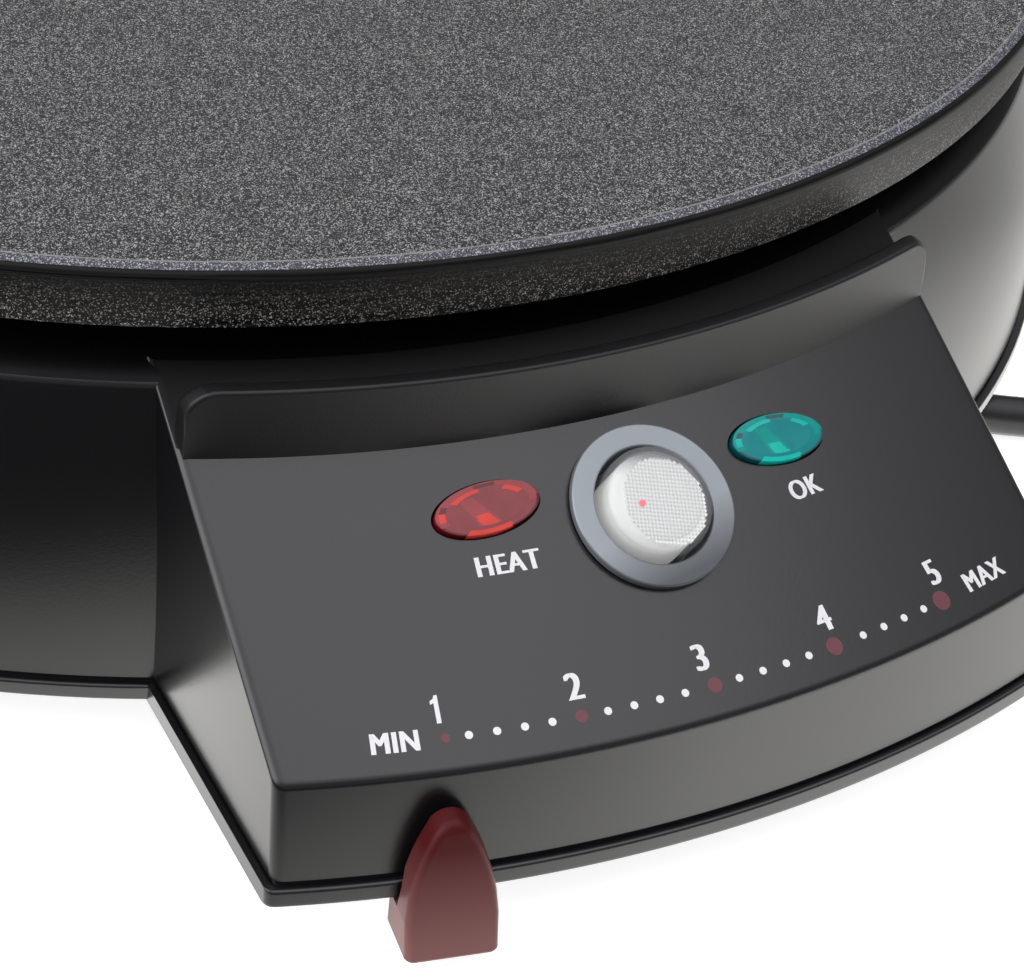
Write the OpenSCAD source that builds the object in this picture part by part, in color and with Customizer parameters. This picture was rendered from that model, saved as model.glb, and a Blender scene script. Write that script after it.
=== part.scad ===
// Electric crepe maker: a round cast griddle plate on a moulded base, with a
// sloping control housing at the front (-Y) and a slider lever for the heat.
// Millimetres, +Z up, the table is z = 0. The modules put the plate's axis on the
// Z axis; the finished part stands with the origin under the middle of its plan.

/* [Cooking plate] */
// Radius of the plate at its top edge
plate_r = 154.8; // [150:0.2:158]
// Height of the cooking surface above the table
plate_top = 75; // [74:0.5:80]
// Height of the plate's side wall
plate_h = 9.5; // [8.5:0.5:11]
// How much the side wall draws in towards its lower edge
plate_taper = 1.2; // [0.4:0.2:2.4]
// Thickness of the plate inside its rim
plate_t = 6; // [5:0.5:7]
// Thickness of the plate's side wall
plate_skirt_t = 3.6; // [3:0.2:5]
// Width of the bevelled rim outside the cooking surface
rim_w = 2.4; // [1.5:0.1:4]
// Drop of the bevelled rim
rim_drop = 0.7; // [0.3:0.1:1.2]

/* [Heating] */
// Radius of the heating element's ring
element_ring_r = 95; // [85:1:98]
// Diameter of the heating element's sheath
element_d = 7; // [6:0.5:8]
// Angle between the two ends of the element
element_gap_angle = 20; // [16:1:30]
// Direction of the gap between the element's ends, from +X
element_gap_dir = 45; // [40:1:60]
// Distance of the plate's three fixing screws from the axis
plate_screw_pcd_r = 122; // [118:0.5:124]
// How far the heat shield's edge lies inside the base wall
shield_inset = 22.7; // [17:0.1:24]
// Thickness of the heat shield
shield_t = 0.8; // [0.6:0.1:1.2]
// Diameter of the heat control's shaft
shaft_d = 6; // [5:0.5:8]

/* [Base] */
// Height of the base's lower edge above the table
base_z = 9; // [8:0.5:11]
// Height of the base's flat top
deck_top = 58; // [55:0.5:59]
// Radius of the base wall at its lower edge
body_r_bottom = 160.2; // [158:0.2:164]
// How far the base wall draws in from its lower to its upper edge
body_draft = 7.5; // [4:0.1:10]
// How far the base wall bulges between its two edges
body_bulge = 1.1; // [0.2:0.1:2]
// Radius of the base's rounded top edge
body_edge_r = 3; // [2.9:0.1:4]
// Wall thickness of the moulded base
wall = 2.6; // [2:0.1:2.8]
// Height of the bead along the base's lower edge
bead_h = 2.6; // [1.6:0.2:4]
// How far that bead stands out
bead_out = 1.1; // [0.5:0.1:1.6]
// Radius of the round opening in the base's top
deck_hole_r = 112; // [108:0.5:114]

/* [Control housing] */
// Slope of the control panel, in degrees
panel_slope = 32.7; // [30:0.1:34]
// Radius at which the panel meets the front of the guard
guard_r = 161.5; // [160:0.1:163]
// Height of the panel at the foot of the guard
guard_foot_z = 50.4; // [49:0.1:51]
// Length of the panel seen from above, from the guard to the front edge
panel_len = 37.5; // [35:0.1:40]
// How far the front wall leans out towards its lower edge
front_draft = 2.9; // [2.4:0.1:4]
// Half the panel's width at the guard
housing_half_w = 59.4; // [58:0.1:64]
// How much the side walls spread towards the front, in degrees
side_spread = 2.15; // [0:0.05:3]
// Draft of the side walls, in degrees
side_draft = 2.7; // [0:0.1:4]

/* [Guard] */
// Height of the guard's top edge
guard_top = 60.8; // [58:0.2:62]
// Thickness of the guard
guard_t = 2.7; // [2:0.1:3.2]
// Radius of the guard's two upper corners
guard_corner_r = 4.6; // [2:0.2:6]
// Half the guard's width
guard_half_w = 58.8; // [50:0.2:59]

/* [Indicators] */
// Distance from the guard's face to the round indicator, seen from above
ring_off = 11.9; // [10.5:0.1:14]
// Outer radius of the bezel ring
bezel_r = 12.2; // [11:0.1:14]
// Radius of the bezel's opening
bezel_hole_r = 9; // [8.4:0.1:9.6]
// How far the bezel stands above the panel
bezel_h = 1.2; // [0.6:0.1:2]
// How far the round lens stands above the panel
lens_h = 4.6; // [3:0.1:6]
// Distance from the guard's face to the two oval lamps, seen from above
lamp_off = 8.4; // [7.5:0.1:10]
// Angle of each oval lamp from the middle
lamp_angle = 7.74; // [7:0.02:9]
// Half the length of an oval lamp lens
lamp_a = 8; // [7:0.1:9]
// Half the width of an oval lamp lens
lamp_b = 4.1; // [3.6:0.1:5]
// Gap round an oval lens
lamp_gap = 0.5; // [0.3:0.05:0.8]

/* [Heat slider] */
// Angle of the slider at the lowest setting, from the middle
dial_start = -11.8; // [-14:0.1:-9]
// Angle between the lowest and the highest setting
dial_sweep = 23; // [18:0.5:26]
// Width of the knob
knob_w = 12.7; // [10:0.1:14]
// Height of the knob's lower face above the table
knob_z = 2.8; // [2:0.1:4]
// Height of the knob's tip
knob_top = 22.4; // [20:0.1:24]
// Depth of the knob at its foot
knob_depth = 8.4; // [8:0.1:12]
// How much the knob's front face leans back
knob_lean = 4.3; // [3:0.1:5.6]
// Gap between the moving slider and the base
slide_gap = 0.6; // [0.4:0.05:0.8]
// Thickness of the slider's steel arm
arm_t = 2; // [1.5:0.1:2.5]
// Width of the slider's arm
arm_w = 14; // [10:0.5:16]

/* [Underside] */
// Height of the bottom cover's lower face
cover_z = 13; // [12:0.5:14]
// Thickness of the bottom cover
cover_t = 2; // [1.5:0.1:2.4]
// Gap between the bottom cover and the base wall
cover_gap = 0.4; // [0.2:0.05:0.8]
// How far the feet's centres lie inside the base's lower edge
foot_inset = 22.2; // [20:0.1:28]
// Radius of a foot at its upper end
foot_r = 10; // [8:0.2:12]
// How far the cover screws lie inside the base's lower edge
post_inset = 24.2; // [20:0.1:26]
// Radius of the posts that take the cover screws
post_r = 4; // [3:0.1:5]

/* [Cord] */
// Diameter of the cord
cord_d = 6.8; // [6:0.1:7.4]
// Length of the tapered strain relief
relief_len = 28; // [20:1:28]
// Radius of the strain relief where it leaves the base
relief_r = 4.7; // [4.3:0.1:4.9]
// Distance between the turns' centres in the coil
coil_pitch = 7; // [7:0.1:7.4]
// Radius of the coil at the middle of its turns
coil_r = 38; // [36:0.5:40]

/* [Hidden] */

$fn = 96;
round_fn = 180;         // facets of the largest circles
eps = 0.01;             // overlap that makes a cut clean
fit = 0.1;              // gap between fixed pieces that fit into each other
run_fit = 0.05;         // radial gap of a shaft that turns in its hole
thread_fit = 0.05;      // radial gap round a screw in its own thread

// Cooking plate and what hangs from it
plate_bottom = plate_top - plate_h;
plate_under = plate_top - plate_t;
rib_h = 3;                          // rib that carries the element
rib_z = plate_under - rib_h;
rib_in = element_ring_r - 9;
rib_out = element_ring_r + 15;
clamp_screw_r = element_ring_r + 10;
boss_z = plate_under - 5;           // lower face of the fixing bosses
boss_r = 6;
shield_top = deck_top + shield_t;
m4_r = 2;
m3_r = 1.5;
plate_screw_angles = [90, 210, 330];
clamp_angles = [element_gap_dir + 60, element_gap_dir + 140, element_gap_dir + 220,
    element_gap_dir + 300];
element_ends = [element_gap_dir - element_gap_angle / 2, element_gap_dir + element_gap_angle / 2];
element_drop = 15;                  // how far the element's ends reach down
pin_drop = 6;                       // length of its two terminal pins

strap_t = 1;                        // thickness of the straps that hold the element
strap_w = 10;
screw_head_h = 2.4;
shield_hole_r = 38;
shield_rim_h = 5;

// Thermostat under the plate's centre
stat_w = 34;
stat_d = 22;
stat_top = plate_under - 5;
stat_z = stat_top - 13;
bush_len = 8;
bush_z = stat_z - bush_len;
bush_r = shaft_d / 2 + 3;
bracket_t = 1.2;
bracket_boss_x = 27;
bracket_boss_z = plate_under - 7;

// Base
body_r_top = body_r_bottom - body_draft;
shield_r = body_r_top - shield_inset;
foot_pcd_r = body_r_bottom - foot_inset;
post_pcd_r = body_r_bottom - post_inset;
front_r = guard_r + panel_len;
front_r_bottom = front_r + front_draft;
ring_r = guard_r + ring_off;
lamp_r = guard_r + lamp_off;
side_ref_r = guard_r - 11.5;        // where the housing's half width is measured
reach_r = front_r_bottom + 30;      // outside everything
panel_tan = tan(panel_slope);
panel_cos = cos(panel_slope);
function panel_z(r) = guard_foot_z - panel_tan * (r - guard_r);
wall_top_z = deck_top - body_edge_r;
cover_top = cover_z + cover_t;
post_angles = [20, 90, 160, 215, 325];
foot_angles = [45, 135, 225, 315];
cover_screw_r = 1.6;
cover_screw_len = 12;
guard_tabs = [-15, 15];          // angles of the guard's tabs from the middle
guard_tab_w = 8;
guard_tab_len = 6;
function front_wall_r(z) = front_r + (front_r_bottom - front_r)
    * (panel_z(front_r) - z) / (panel_z(front_r) - base_z);

// Indicators, measured down from the face of the panel
neck_r = bezel_r - 1.6;
neck_len = 6.5;
lens_r = bezel_hole_r - 0.3;
lens_wall = 1.2;
lens_foot = 10.5;
board_t = 1.6;
led_r = 1.5;
led_x = -3.3;
flange_out = 1.6;                   // how far a lamp lens is held behind its hole
flange_t = 1.2;
seat = wall + 0.45;                 // depth of a flat seat behind the curved panel
lamp_proud = 0.9;                   // how far a lamp lens stands above the panel
holder_len = 15;
holder_foot = seat + flange_t + fit + holder_len;

// Slider
arm_z = cover_top + 1.5;
arm_leg_r = front_r_bottom - 11.5;          // radius at which the arm bends down
slider_foot_top = base_z - slide_gap - 0.8;
slider_foot_z = slider_foot_top - arm_t;
slider_foot_w = 8;
knob_back_r = front_r_bottom + bead_out + slide_gap;
knob_under_r = knob_back_r - 3;
knob_front_r = knob_under_r + knob_depth;
knob_spring_z = 7.5;                 // height at which the knob's sides start to arch
slider_foot_end = knob_front_r - 3;
slot_side = 2;                      // room beside the arm in its slot at either end
hub_r = 9;
hub_h = 9;
shaft_z = cover_top + 0.8;

// How far the plate's axis lies behind the middle of the part's plan
knob_reach = knob_front_r * cos(dial_start) - knob_w / 2 * sin(dial_start);
axis_y = (knob_reach - body_r_bottom - bead_out) / 2;

// Cord: outlet box under the cover, direction of the lead, and the coil
outlet = [48, -99];                 // where the lead leaves the outlet box
lead_dir = -28;                     // its direction, from +X
lead_z = 8.2;                       // its height there
outlet_len = 22;
outlet_half_w = 11;
outlet_wall = 2.4;
outlet_z = 1.6;
cord_r = cord_d / 2;
lead_pts = [[72.76, -112.15, 8.2], [76.3, -114.03, 8.15], [79, -115.5, 7.6], [84, -118, 6.5], [90, -121.4, 5.1],
    [96, -124.6, 4], [102, -127.7, 3.5], [112, -133, 3.4], [122, -138.3, 3.4],
    [130, -142.6, 3.4], [137, -146.3, 3.4], [143, -149.5, 3.4]];
coil_centre = [174, -119];
tail_pts = [[215.5, -115, 10.4], [215.5, -108, 10.1], [215.5, -101, 8.9], [215.5, -94, 6.9],
    [215.5, -86, 4.8], [215.5, -78, 3.7], [215.5, -70, 3.7], [215.5, -62, 4.7],
    [215.5, -54, 6.6], [215.5, -47, 8.2], [215.5, -40, 9], [215.5, -36, 9]];
plug_relief_len = 22;
plug_len = 30;
plug_w = 26;
plug_h = 18;

// Colours
black = "#1b1b1d";
burgundy = "#6e3237";
steel = "#b9bcc0";
charcoal = "#2e2f33";

// ---- helpers -------------------------------------------------------------

// Moves a finished piece so that the origin lies under the middle of the plan.
module in_place() {
    translate([0, axis_y, 0])
        children();
}

// Places children at each angle of a circle round the Z axis.
module around(angles, r) {
    for (a = angles)
        rotate([0, 0, a])
            translate([r, 0, 0])
                children();
}

// Places children on the control panel: angle from the middle, radius from the
// axis, local +Z out of the panel.
module on_panel(angle, r) {
    rotate([0, 0, angle])
        translate([0, -r, panel_z(r)])
            rotate([panel_slope, 0, 0])
                children();
}

// A pan-head screw that points up; its head's upper face is at z = 0.
module screw(r, len, head_r, head_h) {
    difference() {
        union() {
            translate([0, 0, -head_h])
                cylinder(r = head_r, h = head_h);
            cylinder(r = r, h = len);
        }
        for (a = [0, 90])
            rotate([0, 0, a])
                translate([-head_r * 0.6, -0.5, -head_h - eps])
                    cube([head_r * 1.2, 1, head_h * 0.6]);
    }
}

// A round wire along a list of points, with rounded bends.
wire_bend = 3;
module wire(points, r) {
    last = len(points) - 1;
    swept_cord([
        points[0],
        for (i = [1 : last - 1]) each
            let (c = points[i], u = c + wire_bend * unit(points[i - 1] - c),
                v = c + wire_bend * unit(points[i + 1] - c))
            [u, (u + 2 * c + v) / 4, v],
        points[last]], r);
}

// A flat oval of half length a and half width b.
module oval(a, b) {
    polygon([for (t = [0 : 7.5 : 352.5]) [a * cos(t), b * sin(t)]]);
}

// Sweeps a round cord along points: one closed polyhedron.
cord_sides = 8;
function unit(v) = v / norm(v);
function tangent(p, i) = unit(p[min(i + 1, len(p) - 1)] - p[max(i - 1, 0)]);
function side_at(p, i) = i == 0
    ? let (t = tangent(p, 0)) unit(cross(t, abs(t[2]) < 0.8 ? [0, 0, 1] : [1, 0, 0]))
    : let (t = tangent(p, i), s = side_at(p, i - 1)) unit(s - (s * t) * t);
function ring(p, i, r) = let (s = side_at(p, i), u = cross(s, tangent(p, i)))
    [for (k = [0 : cord_sides - 1]) p[i]
        + r * (cos(k * 360 / cord_sides) * s + sin(k * 360 / cord_sides) * u)];
module swept_cord(p, r) {
    n = len(p);
    m = cord_sides;
    verts = [for (i = [0 : n - 1]) each ring(p, i, r)];
    sides = [for (i = [0 : n - 2]) for (k = [0 : m - 1])
        [i * m + k, i * m + (k + 1) % m, (i + 1) * m + (k + 1) % m, (i + 1) * m + k]];
    caps = [[for (k = [m - 1 : -1 : 0]) k], [for (k = [0 : m - 1]) (n - 1) * m + k]];
    polyhedron(points = verts, faces = concat(sides, caps));
}

// ---- cooking plate -------------------------------------------------------

module cooking_plate() {
    r_low = plate_r - plate_taper;
    color(charcoal)
        difference() {
            union() {
                rotate_extrude($fn = round_fn)
                    polygon([[0, plate_under], [0, plate_top], [plate_r - rim_w, plate_top],
                        [plate_r, plate_top - rim_drop], [r_low, plate_bottom],
                        [r_low - plate_skirt_t, plate_bottom],
                        [r_low - plate_skirt_t - 1, plate_under]]);
                rotate_extrude($fn = round_fn)
                    polygon([[rib_in, rib_z], [rib_out, rib_z], [rib_out, plate_under + eps],
                        [rib_in, plate_under + eps]]);
                around(plate_screw_angles, plate_screw_pcd_r)
                    translate([0, 0, boss_z])
                        cylinder(r = boss_r, h = plate_under - boss_z + eps);
                for (x = [-bracket_boss_x, bracket_boss_x])
                    translate([x, 0, bracket_boss_z])
                        cylinder(r = 5, h = plate_under - bracket_boss_z + eps);
            }
            translate([0, 0, rib_z])
                rotate_extrude($fn = round_fn)
                    translate([element_ring_r, 0])
                        circle(r = element_d / 2 + fit);
            around(plate_screw_angles, plate_screw_pcd_r)
                translate([0, 0, boss_z - eps])
                    cylinder(r = m4_r + thread_fit, h = 8);
            around(clamp_angles, clamp_screw_r)
                translate([0, 0, rib_z - eps])
                    cylinder(r = m4_r + thread_fit, h = 6);
            for (x = [-bracket_boss_x, bracket_boss_x])
                translate([x, 0, bracket_boss_z - eps])
                    cylinder(r = m3_r + thread_fit, h = 8);
        }
}

module heating_element() {
    color(steel) {
        translate([0, 0, rib_z])
            rotate([0, 0, element_ends[1]])
                rotate_extrude(angle = 360 - element_gap_angle, $fn = round_fn)
                    translate([element_ring_r, 0])
                        circle(r = element_d / 2);
        around(element_ends, element_ring_r) {
            translate([0, 0, rib_z - element_drop])
                cylinder(r = element_d / 2 + 0.7, h = element_drop - fit);
            translate([0, 0, rib_z - element_drop - pin_drop])
                cylinder(r = 1.5, h = pin_drop + eps);
        }
    }
}

module element_clamps() {
    in_r = element_d / 2 + fit;
    reach = clamp_screw_r + 5 - element_ring_r;
    color(steel)
        for (a = clamp_angles)
            rotate([0, 0, a])
                difference() {
                    rotate([90, 0, 0])
                        linear_extrude(height = strap_w, center = true)
                            translate([element_ring_r, rib_z])
                                difference() {
                                    union() {
                                        translate([-in_r - 5, -strap_t])
                                            square([in_r + 5 + reach, strap_t]);
                                        intersection() {
                                            circle(r = in_r + strap_t);
                                            translate([-in_r * 2, -in_r * 2])
                                                square([in_r * 4, in_r * 2]);
                                        }
                                    }
                                    circle(r = in_r);
                                }
                    translate([clamp_screw_r, 0, rib_z - strap_t - eps])
                        cylinder(r = m4_r + fit, h = strap_t + 2 * eps);
                }
}

module clamp_screws() {
    color(steel)
        around(clamp_angles, clamp_screw_r)
            translate([0, 0, rib_z - strap_t])
                screw(m4_r, 5.5, 3.8, screw_head_h);
}

module heat_shield() {
    color(steel)
        difference() {
            rotate_extrude($fn = round_fn)
                polygon([[shield_hole_r, deck_top], [shield_r, deck_top],
                    [shield_r, deck_top + shield_rim_h], [shield_r - shield_t, deck_top + shield_rim_h],
                    [shield_r - shield_t, shield_top], [shield_hole_r, shield_top]]);
            around(element_ends, element_ring_r)
                translate([0, 0, deck_top - eps])
                    cylinder(r = element_d / 2 + 1.5, h = shield_t + 2 * eps);
            around(plate_screw_angles, plate_screw_pcd_r)
                translate([0, 0, deck_top - eps])
                    cylinder(r = m4_r + 0.3, h = shield_t + 2 * eps);
        }
}

module plate_spacers() {
    color(steel)
        around(plate_screw_angles, plate_screw_pcd_r)
            translate([0, 0, shield_top])
                difference() {
                    cylinder(r = 5, h = boss_z - shield_top);
                    translate([0, 0, -eps])
                        cylinder(r = m4_r + 0.3, h = boss_z - shield_top + 2 * eps);
                }
}

module plate_screws() {
    color(steel)
        around(plate_screw_angles, plate_screw_pcd_r)
            translate([0, 0, deck_top - wall])
                screw(m4_r, boss_z + 7 - deck_top + wall, 4, screw_head_h);
}

// ---- heat control --------------------------------------------------------

module thermostat() {
    color("#d8d4c8")
        difference() {
            union() {
                translate([-stat_w / 2, -stat_d / 2, stat_z])
                    cube([stat_w, stat_d, stat_top - stat_z]);
                translate([0, 0, stat_top - eps])
                    cylinder(r = 8, h = plate_under - stat_top + eps);
                translate([0, 0, bush_z])
                    cylinder(r = bush_r, h = bush_len + eps);
                for (x = [-9, 9])
                    translate([x - 3, stat_d / 2 - eps, stat_z + 3])
                        cube([6, 8, 0.8]);
            }
            translate([0, 0, bush_z - eps])
                cylinder(r = shaft_d / 2 + run_fit, h = bush_len - 1);
        }
}

module thermostat_bracket() {
    in_x = stat_w / 2 + fit;
    out_x = in_x + bracket_t;
    end_x = bracket_boss_x + 5;
    low = stat_z - fit;
    color(steel)
        difference() {
            rotate([90, 0, 0])
                linear_extrude(height = 14, center = true)
                    polygon([[-end_x, bracket_boss_z], [-in_x, bracket_boss_z], [-in_x, low],
                        [in_x, low], [in_x, bracket_boss_z], [end_x, bracket_boss_z],
                        [end_x, bracket_boss_z - bracket_t], [out_x, bracket_boss_z - bracket_t],
                        [out_x, low - bracket_t], [-out_x, low - bracket_t],
                        [-out_x, bracket_boss_z - bracket_t], [-end_x, bracket_boss_z - bracket_t]]);
            translate([0, 0, low - bracket_t - eps])
                cylinder(r = bush_r + fit, h = bracket_t + 2 * eps);
            for (x = [-bracket_boss_x, bracket_boss_x])
                translate([x, 0, bracket_boss_z - bracket_t - eps])
                    cylinder(r = m3_r + 0.2, h = bracket_t + 2 * eps);
        }
}

module bracket_screws() {
    color(steel)
        for (x = [-bracket_boss_x, bracket_boss_x])
            translate([x, 0, bracket_boss_z - bracket_t])
                screw(m3_r, 7, 3, 2);
}

fuse_y = 30;
fuse_r = 2;
fuse_z = plate_under - fuse_r - fit;
module thermal_fuse() {
    color("#c9a24b")
        translate([0, fuse_y, fuse_z])
            rotate([0, 90, 0]) {
                cylinder(r = fuse_r, h = 16, center = true);
                cylinder(r = 0.5, h = 24, center = true);
            }
}

module heat_shaft() {
    color(steel)
        translate([0, 0, shaft_z])
            cylinder(r = shaft_d / 2, h = stat_z - 2 - shaft_z);
}

module slider_arm() {
    color(steel)
        rotate([0, 0, dial_start])
            difference() {
                union() {
                    translate([-arm_w / 2, -arm_leg_r, arm_z])
                        cube([arm_w, arm_leg_r, arm_t]);
                    translate([-1.5, 15 - arm_leg_r, arm_z + arm_t - eps])
                        cube([3, arm_leg_r - 15, 2]);
                    translate([-slider_foot_w / 2, -arm_leg_r, slider_foot_z])
                        cube([slider_foot_w, arm_t, arm_z + arm_t - slider_foot_z]);
                    translate([-slider_foot_w / 2, -slider_foot_end, slider_foot_z])
                        cube([slider_foot_w, slider_foot_end - arm_leg_r + arm_t, arm_t]);
                    translate([0, 0, arm_z])
                        cylinder(r = hub_r, h = hub_h);
                }
                translate([0, 0, arm_z - eps])
                    cylinder(r = shaft_d / 2 + thread_fit, h = hub_h + 2 * eps);
                translate([0, 0, arm_z + hub_h - 3])
                    rotate([-90, 0, 0])
                        cylinder(r = m3_r + thread_fit, h = hub_r + 1);
            }
}

module hub_screw() {
    color(steel)
        rotate([0, 0, dial_start])
            translate([0, shaft_d / 2, arm_z + hub_h - 3])
                rotate([-90, 0, 0])
                    difference() {
                        cylinder(r = m3_r, h = hub_r - shaft_d / 2 + 1);
                        translate([0, 0, hub_r - shaft_d / 2 - 0.5])
                            cylinder(r = 0.8, h = 2, $fn = 6);
                    }
}

// Pointed arch of the knob, seen from the front: two arcs that meet above its tip.
module knob_outline() {
    half = knob_w / 2;
    rise = knob_top + 1.8 - knob_spring_z;
    arc_r = (rise * rise + half * half) / knob_w;
    reach = acos((arc_r - half) / arc_r);
    steps = 10;
    left = [for (i = [0 : steps]) let (t = i * reach / steps)
        [arc_r - half - arc_r * cos(t), knob_spring_z + arc_r * sin(t)]];
    right = [for (i = [steps - 1 : -1 : 0]) [-left[i][0], left[i][1]]];
    polygon(concat([[half, 0], [-half, 0]], left, right));
}

// Outline of the knob from the side: it hooks under the base's lower edge.
module knob_profile() {
    bead_top = base_z + bead_h + slide_gap;
    back_gap = slide_gap + 1;
    polygon([[knob_under_r, knob_z], [knob_front_r, knob_z], [knob_front_r - knob_lean, knob_top],
        [front_wall_r(knob_top) + back_gap, knob_top],
        [front_wall_r(bead_top + 2) + back_gap, bead_top + 2], [knob_back_r, bead_top],
        [knob_back_r, base_z - slide_gap], [knob_under_r, base_z - slide_gap]]);
}

module slider_knob() {
    color(burgundy)
        rotate([0, 0, dial_start])
            difference() {
                intersection() {
                    rotate([90, 0, 0])
                        linear_extrude(height = knob_front_r + 10)
                            knob_outline();
                    rotate([90, 0, -90])
                        linear_extrude(height = knob_w + 2, center = true)
                            knob_profile();
                }
                translate([-slider_foot_w / 2 - fit, -slider_foot_end - fit, slider_foot_z - fit])
                    cube([slider_foot_w + 2 * fit, slider_foot_end + fit - arm_leg_r, arm_t + 2 * fit]);
            }
}

// ---- base ----------------------------------------------------------------

// The round base as a solid, drawn in by i from its outer face.
module body_solid(i) {
    steps = 8;
    low = i > 0 ? base_z - 1 : base_z;
    edge = max(body_edge_r - i, 0.3);
    top_z = i > 0 ? deck_top - i : deck_top;
    side_r = body_r_top - i;
    side = [for (k = [0 : steps]) let (t = k / steps)
        [body_r_bottom - i + (body_r_top - body_r_bottom) * t + 4 * body_bulge * t * (1 - t),
            base_z + (wall_top_z - base_z) * t]];
    rounding = [for (a = [15 : 15 : 90])
        [side_r - edge + edge * cos(a), top_z - edge + edge * sin(a)]];
    rotate_extrude($fn = round_fn)
        polygon(concat([[0, low], [body_r_bottom - i, low]], side, rounding, [[0, top_z]]));
}

// One half-space of the housing: everything inside a side wall drawn in by i.
module housing_side(i) {
    translate([-(housing_half_w - i), -side_ref_r, guard_foot_z])
        rotate([0, 0, -side_spread])
            rotate([0, side_draft, 0])
                translate([0, -reach_r, -reach_r])
                    cube([2 * reach_r, 2 * reach_r, 2 * reach_r]);
}

// The control housing as a solid, drawn in by i.
module housing_solid(i) {
    low = i > 0 ? base_z - 1 : base_z;
    drop = i > 0 ? i / panel_cos : 0;
    top_z = i > 0 ? deck_top - i : deck_top;
    meet_r = guard_r - (top_z + drop - guard_foot_z) / panel_tan;
    inner_r = body_r_top / 2;
    intersection() {
        rotate_extrude($fn = round_fn)
            polygon([[inner_r, low], [front_r_bottom - i, low], [front_r_bottom - i, base_z],
                [front_r - i, panel_z(front_r - i) - drop], [meet_r, top_z], [inner_r, top_z]]);
        housing_side(i);
        mirror([1, 0, 0])
            housing_side(i);
        translate([-reach_r, -reach_r, 0])
            cube([2 * reach_r, reach_r - inner_r, deck_top + 1]);
    }
}

// Everything between two heights.
module slab(low, high) {
    translate([-reach_r, -reach_r, low])
        cube([2 * reach_r, 2 * reach_r, high - low]);
}

module guard_tab(angle, gap) {
    rotate([0, 0, angle])
        translate([-guard_tab_w / 2 - gap, -guard_r + 0.3 - gap, guard_foot_z - guard_tab_len])
            cube([guard_tab_w + 2 * gap, guard_t - 0.6 + 2 * gap, guard_tab_len + 4]);
}

module base_shell() {
    color(black)
        difference() {
            union() {
                difference() {
                    union() {
                        body_solid(0);
                        housing_solid(0);
                        intersection() {
                            union() {
                                body_solid(-bead_out);
                                housing_solid(-bead_out);
                            }
                            slab(base_z, base_z + bead_h);
                        }
                    }
                    body_solid(wall);
                    housing_solid(wall);
                }
                around(post_angles, post_pcd_r)
                    translate([0, 0, cover_top])
                        cylinder(r = post_r, h = deck_top - wall - cover_top + eps);
            }
            translate([0, 0, deck_top - wall - 1])
                cylinder(r = deck_hole_r, h = wall + 2, $fn = round_fn);
            around(plate_screw_angles, plate_screw_pcd_r)
                translate([0, 0, deck_top - wall - 1])
                    cylinder(r = m4_r + 0.3, h = wall + 2);
            around(post_angles, post_pcd_r)
                translate([0, 0, cover_top - eps])
                    cylinder(r = cover_screw_r + thread_fit, h = cover_screw_len + 2);
            on_panel(0, ring_r)
                translate([0, 0, -wall - 3])
                    cylinder(r = neck_r + fit, h = wall + 6);
            for (a = [-lamp_angle, lamp_angle])
                on_panel(a, lamp_r)
                    rotate([0, 0, -a])
                        translate([0, 0, -wall - 3])
                            linear_extrude(height = wall + 6)
                                oval(lamp_a + lamp_gap, lamp_b + lamp_gap);
            for (a = guard_tabs)
                guard_tab(a, fit);
        }
}

module panel_guard() {
    color(black) {
        difference() {
            intersection() {
                rotate_extrude($fn = round_fn)
                    translate([guard_r - guard_t, guard_foot_z - 2])
                        square([guard_t, guard_top - guard_foot_z + 2]);
                rotate([90, 0, 0])
                    linear_extrude(height = guard_r + 5)
                        guard_outline();
            }
            rotate_extrude($fn = round_fn)
                polygon([[guard_r - 10, 0], [guard_r + 10, 0], [guard_r + 10, panel_z(guard_r + 10)],
                    [guard_r - 10, panel_z(guard_r - 10)]]);
        }
        for (a = guard_tabs)
            guard_tab(a, 0);
    }
}

// The guard from the front: a long plate with rounded upper corners.
module guard_outline() {
    translate([-guard_half_w, guard_foot_z - 5])
        square([2 * guard_half_w, guard_top - guard_corner_r - guard_foot_z + 5]);
    translate([-guard_half_w + guard_corner_r, guard_foot_z])
        square([2 * (guard_half_w - guard_corner_r), guard_top - guard_foot_z]);
    for (x = [-1, 1])
        translate([x * (guard_half_w - guard_corner_r), guard_top - guard_corner_r])
            circle(r = guard_corner_r);
}

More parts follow.
